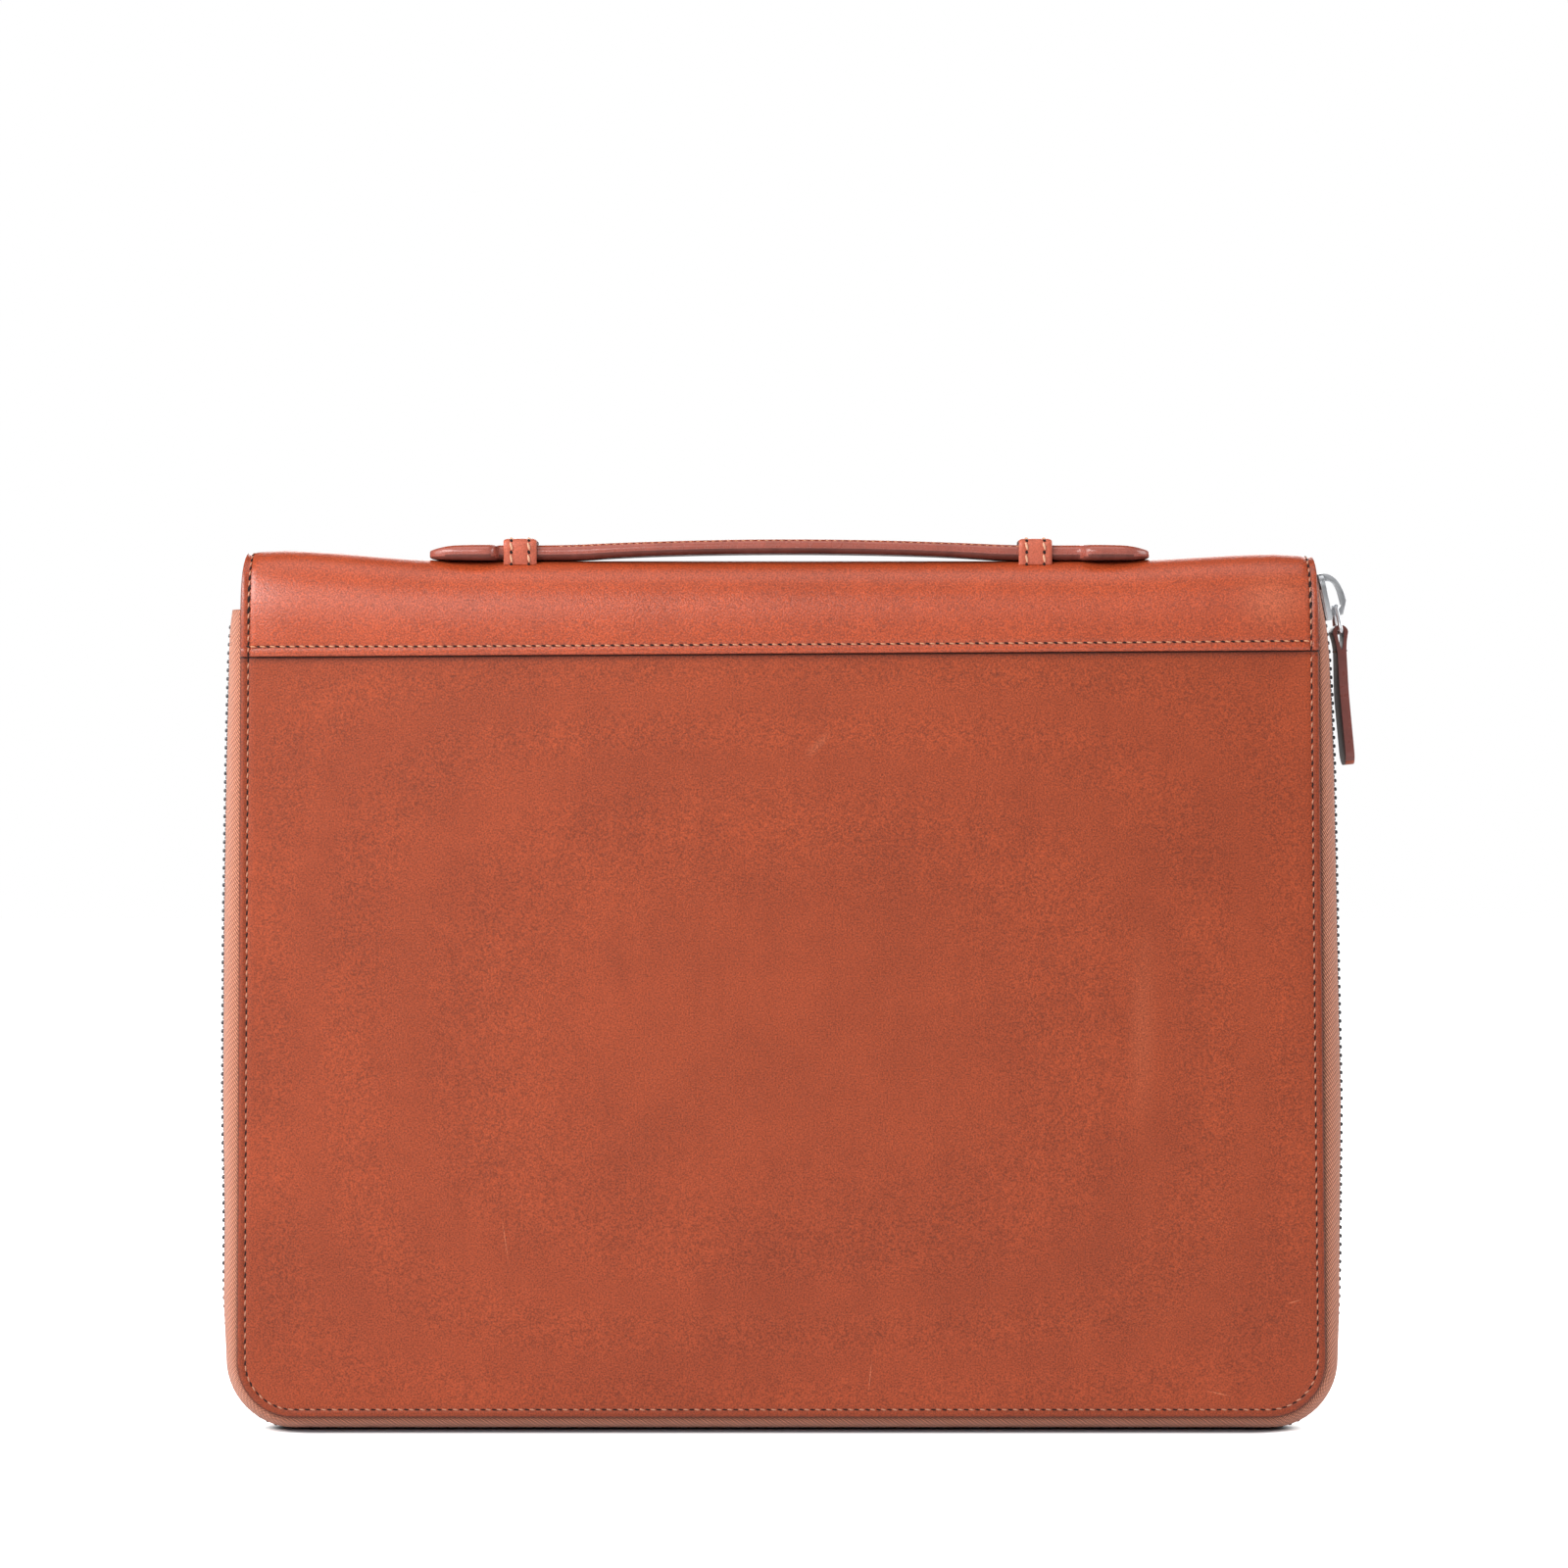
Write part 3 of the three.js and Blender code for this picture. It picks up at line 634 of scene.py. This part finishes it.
def coverSeam(side):
    # down the left side, round both corners and up the right side
    inset, heights = cover["seam"], cover["seamHeights"]
    centreX, centreZ = cornerCentre()
    bendRadius = cover["radius"] - inset
    bendSteps, steps = 12, 6
    line = [(-halfWidthAt(z, -1) + inset, z) for z in (spine["lowLeft"] - 1, *reversed(heights))]
    for hand, start in ((-1, 180), (1, 270)):
        for number in range(bendSteps + 1):
            turn = math.radians(start + 90 * number / bendSteps)
            line.append((hand * centreX + bendRadius * math.cos(turn), centreZ + bendRadius * math.sin(turn)))
    line += [(halfWidthAt(z) - inset, z) for z in (*heights, spine["lowRight"] - 1)]
    fine = []
    for a, b in zip(line, line[1:]):
        fine += [(lerp(a[0], b[0], k / steps), lerp(a[1], b[1], k / steps)) for k in range(steps)]
    fine.append(line[-1])
    return [Vector((x, side * (coverDepth(x, z) + cover["seamProud"]), z)) * mm for x, z in fine]


# spine band: lapped over both covers and turned over the top
spine = dict(
    wall=1.6, lowLeft=233.2, lowRight=235.2, bend=236.5, topLeft=265.7, topMiddle=262.5, topRight=264.8,
    riseFrom=95.0, riseTo=152.0, roundness=2.7, endInset=1.3, hemSeam=2.7, endSeam=2.5, pillow=10.0, sunk=0.9,
    endEdge=0.5, hemEdge=0.4, edgeRound=1.0, endGroove=(0.45, 0.8), hemGroove=(0.22, 0.6), pillowDrop=0.8,
    seamStart=0.5, seamInset=0.6, arcSteps=40, columns=44, rows=26,
)
spineDepth = case["halfDepth"] + case["gap"] + spine["wall"]
spineTop = max(spine["topLeft"], spine["topRight"])


def spineTopAt(x):
    end = spine["topLeft"] if x < 0 else spine["topRight"]
    return lerp(spine["topMiddle"], end, smoothStep(spine["riseFrom"], spine["riseTo"], abs(x)))


def spineLowAt(x):
    return lerp(spine["lowLeft"], spine["lowRight"], x / halfWidthAt(spine["bend"]) / 2 + 0.5)


def spineRise(height):
    # 0 where the band starts to turn over, 1 at its highest
    return max(0.0, (height - spine["bend"]) / (spineTop - spine["bend"]))


def spineHalf(x):
    # one half of the section, from the hem up to the crest, as (depth, height)
    rise = spineTopAt(x) - spine["bend"]
    power = 2 / spine["roundness"]
    line = [(spineDepth, spineLowAt(x))]
    for number in range(spine["arcSteps"] + 1):
        turn = math.radians(90 * number / spine["arcSteps"])
        line.append((spineDepth * math.cos(turn) ** power, spine["bend"] + rise * math.sin(turn) ** power))
    return line


def walkLine(line, length):
    for a, b in zip(line, line[1:]):
        piece = math.dist(a, b)
        if length <= piece:
            return lerp(a[0], b[0], length / piece), lerp(a[1], b[1], length / piece)
        length -= piece
    return line[-1]


def lineLength(line):
    return sum(math.dist(a, b) for a, b in zip(line, line[1:]))


def stepsInto(total, rim, count):
    # places along a length: close rows at both ends and even ones between
    edge = [0.0]
    for step in rim:
        edge.append(edge[-1] + step)
    inner = [lerp(edge[-1], total - edge[-1], k / count) for k in range(1, count)]
    return edge + inner + [total - place for place in reversed(edge)]


def spinePoint(share, walk, total):
    # share runs along the spine from -1 to 1, walk goes over it from the front hem to the back hem
    half = spineHalf(share * halfWidthAt(spineTop))
    front = walk <= total / 2
    reach = (walk if front else total - walk) / (total / 2) * lineLength(half)
    depth, height = walkLine(half, reach)
    x = share * (halfWidthAt(height, share) - spine["endInset"] * spineRise(height) ** 6)
    return Vector((x, -depth if front else depth, height))


def handleShade(point):
    # painted shadow of the handle on the crest under it
    shade = 0.85 * (1 - smoothStep(3.5, 6.0, abs(point.y / mm)))
    return shade * smoothStep(258, 260, point.z / mm) * (1 - smoothStep(62, 72, abs(point.x / mm)))


def makeSpine():
    width = 2 * halfWidthAt(spineTop)
    total = 2 * lineLength(spineHalf(0))
    edgeRows = [0.25, 0.35, 0.6, 0.8, 0.5, 0.5, 0.6, 1.0]
    columns = stepsInto(width, edgeRows, spine["columns"])
    rows = stepsInto(total, edgeRows, spine["rows"])
    bm = sheetGrid(
        len(columns) - 1, len(rows) - 1,
        lambda column, row: spinePoint(2 * columns[column] / width - 1, rows[row], total),
    )
    bm.normal_update()
    # edges rounded over, and the leather drawn in along the sewing
    rim = bm.verts.layers.float.new("rim")
    paintedShade = bm.verts.layers.float.new("paintedShade")
    shifts = []
    for vert in bm.verts:
        fromEnd = max(0.0, halfWidthAt(spineTop, vert.co.x) - abs(vert.co.x / mm))
        fromHem = vert.co.z / mm - spineLowAt(vert.co.x / mm)
        vert[rim] = rimShade(fromEnd, spine["endSeam"])
        vert[paintedShade] = handleShade(vert.co)
        shift = edgeDrop(fromEnd, spine["endEdge"], spine["edgeRound"])
        shift += edgeDrop(fromHem, spine["hemEdge"], spine["edgeRound"])
        shift += seamGroove(fromEnd, spine["endSeam"], *spine["endGroove"])
        shift += seamGroove(fromHem, spine["hemSeam"], *spine["hemGroove"])
        shift += edgeDrop(max(0.0, fromEnd - spine["endSeam"]), spine["pillowDrop"], spine["pillow"])
        shifts.append((vert, vert.normal.copy() * shift * mm))
    for vert, move in shifts:
        vert.co -= move
    piece = addPiece("spineBand", bm, [spineLeather, edgePaint], ["spine_band"])
    thicken(piece, spine["wall"])
    return width, total


def spineSeams(width, total):
    hem, start = spine["hemSeam"], spine["seamStart"]
    end = 2 * spine["endSeam"] / width
    hemSteps, endSteps = 80, 60
    hems, ends = [], []
    for walk in (hem, total - hem):
        shares = [-1 + end + (2 - 2 * end) * k / hemSteps for k in range(hemSteps + 1)]
        hems.append([spinePoint(share, walk, total) * mm for share in shares])
    for share in (-1 + end, 1 - end):
        walks = [lerp(start, total - start, k / endSteps) for k in range(endSteps + 1)]
        line = [spinePoint(share, walk, total) for walk in walks]
        for point in line:  # the ends round in a little more than their sewing
            inset = spine["seamInset"] * spine["endInset"] * spineRise(point.z) ** 6
            point.x += math.copysign(inset, share)
        sunk = spine["sunk"] * mm
        ends.append([point * mm - spineOutward(point * mm).normalized() * sunk for point in line])
    return hems, ends


def spineOutward(point):
    rise = spineRise(point.z / mm)
    across = point.y / mm / spineDepth
    power = spine["roundness"] - 1
    out = math.copysign(abs(across) ** power, across) / spineDepth
    return Vector((0, out, rise**power / (spineTop - spine["bend"])))


def bendHole(point):
    # holes stretched open where the band starts to turn over
    return 1.0 + 0.45 * smoothStep(240, 247, point.z / mm) * (1 - smoothStep(254, 260, point.z / mm))


for name, node, side in (("frontCover", "front_cover", -1), ("backCover", "back_cover", 1)):
    makeCover(name, node, side)
    bm = bmesh.new()
    sewSeam(bm, coverSeam(side), lambda point: Vector((0, point.y, 0)))
    addSewing(name + "Sewing", bm)
print("covers sewn")

bm = bmesh.new()
hems, ends = spineSeams(*makeSpine())
for seam in ends:
    sewSeam(bm, seam, spineOutward, hole=bendHole)
addSewing("spineSewing", bm)
bm = bmesh.new()
for seam in hems:
    sewSeam(bm, seam, spineOutward, pitch=2.95, length=1.8, holeLength=1.4)
addSewing("hemSewing", bm, thread=litHemThread)
print("spine sewn")


# zip: tapes bowed out from under the covers' edges, closed by two rows of teeth
zipLine = dict(
    tuck=6.0, tapeWall=1.0, tapeEnds=(247.6, 256.0), toothEnds=(243.0, 251.0), floorBulge=3.9,
    halfChain=2.7, proud=0.6, thick=2.1, sunk=0.3, over=0.1, arcSteps=14, cornerSteps=14,
    weaveBulge=5.5, flatBulge=6.0,
)
tooth = dict(pitch=2.6, length=1.2, reach=3.3, bevel=0.42, spacing=1.5, uneven=0.3, cornerSunk=0.5)
bulgeRows = {  # by side: height and how far the zip stands out past the covers
    -1: [
        (22.0, 4.1), (40.0, 5.3), (65.0, 5.4), (100.0, 6.2), (150.0, 6.4), (200.0, 6.1), (222.0, 5.8),
        (234.0, 5.5), (243.0, 5.0), (251.0, 3.9),
    ],
    1: [
        (22.0, 4.4), (40.0, 5.3), (65.0, 5.8), (100.0, 6.4), (150.0, 5.8), (200.0, 5.3), (222.0, 4.7),
        (234.0, 4.0), (243.0, 3.0), (251.0, 1.34), (256.0, 0.3),
    ],
}


def zipStations(endLeft, endRight, spacing=3.0):
    # (x, z, outX, outZ, bulge) from the left end, under the case, to the right end
    centreX, centreZ = cornerCentre()

    def upSide(sign, end):
        count = round((end - centreZ) / spacing)
        heights = [lerp(centreZ, end, k / count) for k in range(count + 1)]
        return [(sign * halfWidthAt(z), z, sign, 0.0, readTable(bulgeRows[sign], z)) for z in heights]

    def corner(sign):
        rows = []
        for number in range(1, zipLine["cornerSteps"]):
            share = number / zipLine["cornerSteps"]
            turn = math.radians(90 * share)
            outX, outZ = sign * math.cos(turn), -math.sin(turn)
            bulge = lerp(bulgeRows[sign][0][1], zipLine["floorBulge"], share**3)
            place = (sign * centreX + cover["radius"] * outX, centreZ + cover["radius"] * outZ)
            rows.append((*place, outX, outZ, bulge))
        return rows

    count = round(2 * centreX / (2 * spacing))
    along = [lerp(-centreX, centreX, k / count) for k in range(count + 1)]
    bottom = [(x, cover["low"], 0.0, -1.0, zipLine["floorBulge"]) for x in along]
    left = upSide(-1, endLeft)[::-1]
    return left + corner(-1) + bottom + corner(1)[::-1] + upSide(1, endRight)


def beside(station, out, y, clearance):
    x, z, outX, outZ, _ = station
    return Vector((x + outX * out, y, max(clearance, z + outZ * out)))


def makeTape(name, half, side):
    stations = zipStations(*zipLine["tapeEnds"])
    hem = case["halfDepth"] - cover["wall"] - case["gap"]
    inner = zipLine["halfChain"] + case["gap"]
    arcSteps = zipLine["arcSteps"]

    def section(bulge):
        line = [(-zipLine["tuck"], hem), (-zipLine["tuck"] / 2, hem)]
        for number in range(arcSteps + 1):
            turn = math.radians(90 * number / arcSteps)
            line.append((bulge * math.sin(turn), inner + (hem - inner) * math.cos(turn)))
        return line

    def bulgeAt(station):
        # the cloth lies below the teeth, less so at the slider, and covers them round the corners
        lower = smoothStep(20, 60, station[1]) * (1 - smoothStep(225, 243, station[1]))
        return max(0.2, station[4] - lerp(-zipLine["over"], zipLine["sunk"], lower))

    rows = len(section(1.0)) - 1
    edge = [beside(station, bulgeAt(station), side * inner, 0.0) for station in stations]
    along = [0.0]
    for a, b in zip(edge, edge[1:]):
        along.append(along[-1] + (b - a).length)

    def place(column, row):
        out, y = section(bulgeAt(stations[column]))[row]
        return beside(stations[column], out, side * y, 0.0)

    usual = section(zipLine["weaveBulge"])
    bm = bmesh.new()
    weave = bm.loops.layers.uv.new("weave")
    bmesh.ops.create_grid(bm, x_segments=len(stations) - 1, y_segments=rows, size=0.5)
    for vert in bm.verts:
        column = round((vert.co.x + 0.5) * (len(stations) - 1))
        row = round((vert.co.y + 0.5) * rows)
        across = lineLength(usual[2:row + 1])
        for loop in vert.link_loops:
            loop[weave].uv = (across, along[column])
        vert.co = place(column, row) * mm
    if side < 0:
        bmesh.ops.reverse_faces(bm, faces=bm.faces[:])
    runs = [f"zip_tape_{half}_{run}" for run in ("left", "left_corner", "floor", "right_corner", "right")]
    piece = addPiece(name, bm, [tapeTwill, tapeTwill], runs)
    thicken(piece, zipLine["tapeWall"])


def makeTooth():
    bm = bmesh.new()
    bmesh.ops.create_cube(bm, size=1.0)
    size = Vector((tooth["length"], tooth["reach"], zipLine["thick"]))
    bmesh.ops.scale(bm, vec=size * mm, verts=bm.verts[:])
    bmesh.ops.bevel(
        bm, geom=bm.edges[:], offset=tooth["bevel"] * mm, offset_type="OFFSET", affect="EDGES",
        segments=3, profile=0.5, material=-1,
    )
    return toMesh("toothShape", bm)


def makeTeeth():
    shape = makeTooth()
    stations = zipStations(*zipLine["toothEnds"], spacing=tooth["spacing"])
    middle = zipLine["proud"] - zipLine["thick"] / 2
    line = [beside(station, station[4] + middle, 0.0, zipLine["thick"] / 2) * mm for station in stations]
    across = Vector((0, 1, 0))
    bm = bmesh.new()
    for number, (point, along) in enumerate(spreadAlong(line, tooth["pitch"] / 2 * mm)):
        hand = 1 if number % 2 else -1
        lay = Matrix((along, across, along.cross(across))).transposed().to_4x4()
        # the rows never sit quite level, and lie deeper round the corners
        sunk = 0.0 if hand < 0 else tooth["uneven"]
        corner = smoothStep(1.5, 8, point.z / mm) * (1 - smoothStep(15, 60, point.z / mm))
        sunk += tooth["cornerSunk"] * corner
        shift = Matrix.Translation(Vector((0, hand * (zipLine["halfChain"] - tooth["reach"] / 2), sunk)) * mm)
        stamp(bm, shape, Matrix.Translation(point) @ lay @ shift)
    addPiece("zipTeeth", bm, [toothMetal], ["zip_chain"])


makeTape("tapeFront", "front", -1)
makeTape("tapeBack", "back", 1)
makeTeeth()
print("zip laid")


# handle: a padded strap with paddle ends
handle = dict(
    centre=2.4, around=24, flatness=4.0, seamLean=48.0, seamReach=72.0,
    underside=-0.35, edge=0.75,  # upward lean of a face below which it is underside or edge
)
handleRows = [  # place, half-width, underside, thickness
    (0, 7.5, 264.5, 4.6), (20, 7.5, 264.35, 4.6), (40, 7.4, 263.9, 4.5), (55, 7.1, 263.2, 4.7),
    (62, 6.7, 262.55, 5.0), (70, 6.3, 262.5, 4.8), (86, 6.2, 262.5, 4.8), (88, 6.2, 262.5, 4.8),
    (88.7, 8.4, 262.45, 4.8), (89.8, 10.0, 262.4, 4.9), (92, 10.6, 262.4, 4.9), (100.5, 10.2, 262.45, 4.8),
    (104, 9.2, 262.6, 4.2), (106.5, 7.6, 262.8, 3.4), (108.2, 5.6, 263.1, 2.6), (108.9, 4.0, 263.4, 1.9),
]


def makeHandle():
    rows = [(-at, *rest) for at, *rest in reversed(handleRows[1:])] + handleRows
    around = handle["around"]

    def place(column, row):
        # flat above and below, with half-round edges
        at, halfWidth, base, thick = rows[column]
        turn = 2 * math.pi * row / around
        flat = (halfWidth - thick / 2) * max(-1.0, min(1.0, handle["flatness"] * math.cos(turn)))
        across = flat + thick / 2 * math.cos(turn)
        return (handle["centre"] + at, across, base + thick / 2 * (1 + math.sin(turn)))

    bm = sheetGrid(len(rows) - 1, around, place)
    bmesh.ops.remove_doubles(bm, verts=bm.verts[:], dist=1e-6)
    bmesh.ops.holes_fill(bm, edges=[edge for edge in bm.edges if edge.is_boundary])
    bmesh.ops.recalc_face_normals(bm, faces=bm.faces[:])
    # faces turned down take the dark edge paint as painted shade under the strap
    for face in bm.faces:
        if face.normal.z < handle["underside"]:
            face.material_index = 2
        elif face.normal.z < handle["edge"]:
            face.material_index = 1
    leathers = [caseLeather, strapEdge, edgePaint]
    piece = addPiece("handleStrap", bm, leathers, ["handle_strap"])
    roundOff(piece, 2)
    # fine sewing along both shoulders between the keepers
    seams = bmesh.new()
    span = [row for row in rows if abs(row[0]) < handle["seamReach"]]
    lean = math.radians(handle["seamLean"])
    for side in (-1, 1):
        outward = Vector((0, side * math.cos(lean), math.sin(lean)))
        line = []
        for at, halfWidth, base, thick in span:
            edge = Vector((handle["centre"] + at, side * (halfWidth - thick / 2), base + thick / 2))
            line.append((edge + outward * thick / 2) * mm)
        sewSeam(seams, line, lambda point: outward, pitch=2.3, size=0.6, length=1.8, holeLength=0.5)
    addSewing("handleSewing", seams, thread=litHemThread)


# keepers: leather loops sewn over the handle
keeper = dict(
    width=10.2, wall=1.4, inside=6.5, lean=0.6, top=269.1, radius=2.2, bendSteps=6, flatTop=0.35, footGap=0.1,
    bevel=0.2, edge=0.6, edgeRound=1.4, seams=5.3, seamIn=2.45, groove=0.18, grooveHalf=0.5,
)
keeperPlaces = (("Left", -78.9), ("Right", 76.6))


def spineSurface(x, y):
    across = abs(y / spineDepth) ** spine["roundness"]
    return spine["bend"] + (spineTopAt(x) - spine["bend"]) * (1 - across) ** (1 / spine["roundness"])


def keeperLine(x):
    half = keeper["inside"] + keeper["wall"]
    foot = half - keeper["lean"]
    bendRadius, top = keeper["radius"], keeper["top"]
    line = [(foot, spineSurface(x, foot) + keeper["footGap"])]
    for number in range(keeper["bendSteps"] + 1):
        turn = math.radians(90 * number / keeper["bendSteps"])
        line.append((half - bendRadius * (1 - math.cos(turn)), top - bendRadius * (1 - math.sin(turn))))
    line.append((half * keeper["flatTop"], top))
    return [(-y, z) for y, z in line] + [(y, z) for y, z in reversed(line)]


def keeperOutward(point):
    across = point.y / mm / (keeper["inside"] + keeper["wall"])
    rise = max(0.0, 1 - (keeper["top"] - point.z / mm) / 5)
    return Vector((0, across**5, rise**5))


def makeKeeper(name, place):
    across = stepsInto(keeper["width"], [0.3, 0.4, 0.5, 0.6, 0.4, 0.4, 0.5], 4)
    line = keeperLine(place)

    def lay(column, row):
        x = place - keeper["width"] / 2 + across[column]
        y, z = keeperLine(x)[row]
        fromEnd = min(across[column], keeper["width"] - across[column])
        drawn = edgeDrop(fromEnd, keeper["edge"], keeper["edgeRound"])
        drawn += seamGroove(fromEnd, keeper["seamIn"], keeper["groove"], keeper["grooveHalf"])
        spot = Vector((x, y, z))
        return spot - keeperOutward(spot * mm).normalized() * drawn

    bm = sheetGrid(len(across) - 1, len(line) - 1, lay)
    piece = addPiece("keeper" + name, bm, [keeperLeather, edgePaint], ["keeper_" + name.lower()])
    thicken(piece, keeper["wall"])
    soften(piece, keeper["bevel"])
    seams = bmesh.new()
    for shift in (-0.5, 0.5):
        x = place + shift * keeper["seams"]
        points = [Vector((x, y, z)) * mm for y, z in keeperLine(x)]
        sewSeam(seams, points, keeperOutward, pitch=3.6, size=1.5, length=1.75, holeLength=0.8, slant=14.0)
    addSewing("keeper" + name + "Sewing", seams, thread=keeperThread)


makeHandle()
for name, place in keeperPlaces:
    makeKeeper(name, place)
print("handle in its keepers")


# slider and pull: the solids' own shapes with their edges softened
metalEdge = dict(width=0.28, segments=3, angle=35)


def mergedSolid(node):
    bm = bmesh.new()
    bm.from_mesh(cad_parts[node].data)
    bmesh.ops.remove_doubles(bm, verts=bm.verts[:], dist=1e-5)
    bmesh.ops.dissolve_limit(bm, angle_limit=math.radians(2), verts=bm.verts[:], edges=bm.edges[:])
    return bm


def addMetal(name, node, body):
    return addPiece(name, mergedSolid(node), [nickelPlate], [node], body)


soften(addMetal("zipSlider", "zip_slider", "case"), **metalEdge)
roundOff(addMetal("pullLink", "pull_link", "pull"), 2)
# the tab hangs turned a little, so its inner face, painted near-black as shade, shows beside its front edge
pull = dict(
    hinge=(167.6, 0.0, 249.0), turn=4.0, linkTilt=8.0, linkLength=8.3, tilt=5.5,
    bend=0.9, bendLength=22.0, bendRows=(8, 11, 14, 17, 20, 23), seamDrop=5.6, seamOut=1.7, seamHalf=3.0,
)
tabEdges = dict(width=0.5, segments=3, angle=35)
tabPlace = (
    Matrix.Translation(Vector(pull["hinge"]) * mm)
    @ Matrix.Rotation(math.radians(pull["turn"]), 4, "Z")
    @ Matrix.Rotation(math.radians(-pull["linkTilt"]), 4, "Y")
    @ Matrix.Translation((0, 0, -pull["linkLength"] * mm))
    @ Matrix.Rotation(math.radians(pull["linkTilt"] - pull["tilt"]), 4, "Y")
)


def tabBend(drop):
    # the leather bends towards the case below its fold
    return -pull["bend"] * smoothStep(0, pull["bendLength"], drop)


def makePullTab():
    bm = mergedSolid("pull_tab")
    bmesh.ops.transform(bm, matrix=tabPlace.inverted(), verts=bm.verts[:])
    for drop in pull["bendRows"]:
        cutAcross(bm, (0, 0, -drop * mm), (0, 0, 1))
    for face in bm.faces:  # edges, then the face towards the case
        if abs(face.normal.y) > 0.7:
            face.material_index = 1
        # the face towards the case takes the near-black leather, painted shade
        elif face.normal.x < -0.5:
            face.material_index = 2
    for vert in bm.verts:
        vert.co.x += tabBend(-vert.co.z / mm) * mm
    bmesh.ops.transform(bm, matrix=tabPlace, verts=bm.verts[:])
    bm.normal_update()
    leathers = [caseLeather, tabEdge, tabShadedBack]
    piece = addPiece("pullTab", bm, leathers, ["pull_tab"], "pull")
    soften(piece, **tabEdges)


makePullTab()
bm = bmesh.new()  # sewn across just under the link
drop, reach = pull["seamDrop"], pull["seamHalf"]
for facing in (1, -1):
    out = pull["seamOut"] * facing + tabBend(drop)
    line = [tabPlace @ (Vector((out, y, -drop)) * mm) for y in (-reach, 0.0, reach)]
    outward = tabPlace.to_3x3() @ Vector((facing, 0, 0))
    sewSeam(bm, line, lambda point: outward, pitch=2.0, size=0.8, length=1.6, holeLength=1.0)
addSewing("pullSewing", bm, "pull")
print("slider and pull hung")


# studio: soft key from the front left, strips for the spine's sheen, cards at the sides, a fill behind
def addLight(name, place, aim, size, power):
    lightData = bpy.data.lights.new(name, "AREA")
    lightData.shape = "RECTANGLE"
    lightData.size, lightData.size_y = size
    lightData.energy = power
    light = bpy.data.objects.new(name, lightData)
    light.location = place
    light.rotation_euler = (Vector(aim) - Vector(place)).to_track_quat("-Z", "Y").to_euler()
    scene.collection.objects.link(light)


addLight("keyLight", (-1.1, -0.8, 1.0), (0.0, 0.0, 0.14), (0.9, 0.7), 15.0)
addLight("topLight", (0.0, -0.5, 1.9), (0.0, 0.0, 0.1), (1.6, 1.0), 7.0)
addLight("stripLeft", (-0.8, -1.5, 0.95), (0.0, 0.0, 0.25), (1.4, 0.45), 13.2)
addLight("stripRight", (0.8, -1.5, 0.95), (0.0, 0.0, 0.25), (1.4, 0.45), 1.8)
addLight("leftCard", (-1.6, -0.3, 0.7), (0.0, 0.0, 0.14), (1.0, 1.0), 10.2)
addLight("rightCard", (1.6, 0.0, 0.7), (0.0, 0.0, 0.14), (1.0, 1.0), 13.5)
addLight("backFill", (0.4, 1.7, 0.9), (0.0, 0.0, 0.14), (1.6, 1.2), 22.0)

world = bpy.data.worlds.new("studioWorld")
scene.world = world
world.use_nodes = True
sky = world.node_tree
sky.nodes.clear()
seen = put(addNode(sky, "ShaderNodeBackground"), Color=colour(1, 1, 1), Strength=1.0)
lit = put(addNode(sky, "ShaderNodeBackground"), Color=colour(1, 0.99, 0.98), Strength=0.18)
pick = addNode(sky, "ShaderNodeMixShader")
feed(sky, addNode(sky, "ShaderNodeLightPath").outputs["Is Camera Ray"], pick.inputs[0])
feed(sky, lit.outputs[0], pick.inputs[1])
feed(sky, seen.outputs[0], pick.inputs[2])
feed(sky, pick.outputs[0], addNode(sky, "ShaderNodeOutputWorld").inputs["Surface"])

# the floor looks white to the camera away from the case, with a painted contact shadow along the case
floor = dict(size=6.0, caseHalf=0.14, fades=((0.011, 0.021, 0.8), (0.02, 0.2, 0.25)), touch=(0.01, 0.018))
floorMaterial, floorTree, floorShader = newMaterial("paleFloor")
split = addNode(floorTree, "ShaderNodeSeparateXYZ")
feed(floorTree, objectPlace(floorTree), split.inputs[0])
beyond = calc(floorTree, "SUBTRACT", calc(floorTree, "ABSOLUTE", split.outputs[0]), floor["caseHalf"])
nearest = addNode(floorTree, "ShaderNodeCombineXYZ")
feed(floorTree, calc(floorTree, "MAXIMUM", beyond, 0.0), nearest.inputs[0])
feed(floorTree, split.outputs[1], nearest.inputs[1])
reading = addNode(floorTree, "ShaderNodeVectorMath", operation="LENGTH")
feed(floorTree, nearest.outputs[0], reading.inputs[0])
away = reading.outputs["Value"]
fades = [
    spread(floorTree, away, smooth=True, From_Min=near, From_Max=far, To_Max=most)
    for near, far, most in floor["fades"]
]
cameraRay = addNode(floorTree, "ShaderNodeLightPath").outputs["Is Camera Ray"]
bright = calc(floorTree, "MULTIPLY", calc(floorTree, "ADD", *fades), cameraRay)
glow = mixColours(floorTree, bright, colour(0, 0, 0), colour(1, 1, 1))
feed(floorTree, glow, floorShader.inputs["Emission Color"])
# painted contact shadow, seen by the camera only
near, far = floor["touch"]
touch = spread(floorTree, away, smooth=True, From_Min=near, From_Max=far, To_Min=1.0, To_Max=0.0)
dark = calc(floorTree, "MULTIPLY", touch, cameraRay)
grey = mixColours(floorTree, dark, colour(0.82, 0.82, 0.82), colour(0.16, 0.16, 0.18))
feed(floorTree, grey, floorShader.inputs["Base Color"])
put(floorShader, Roughness=0.8, Emission_Strength=1.0)
floorMesh = bmesh.new()
bmesh.ops.create_grid(floorMesh, x_segments=1, y_segments=1, size=floor["size"])
floorData = toMesh("studioFloor", floorMesh)
floorData.materials.append(floorMaterial)
studioFloor = bpy.data.objects.new("studioFloor", floorData)
scene.collection.objects.link(studioFloor)
print("studio lit")
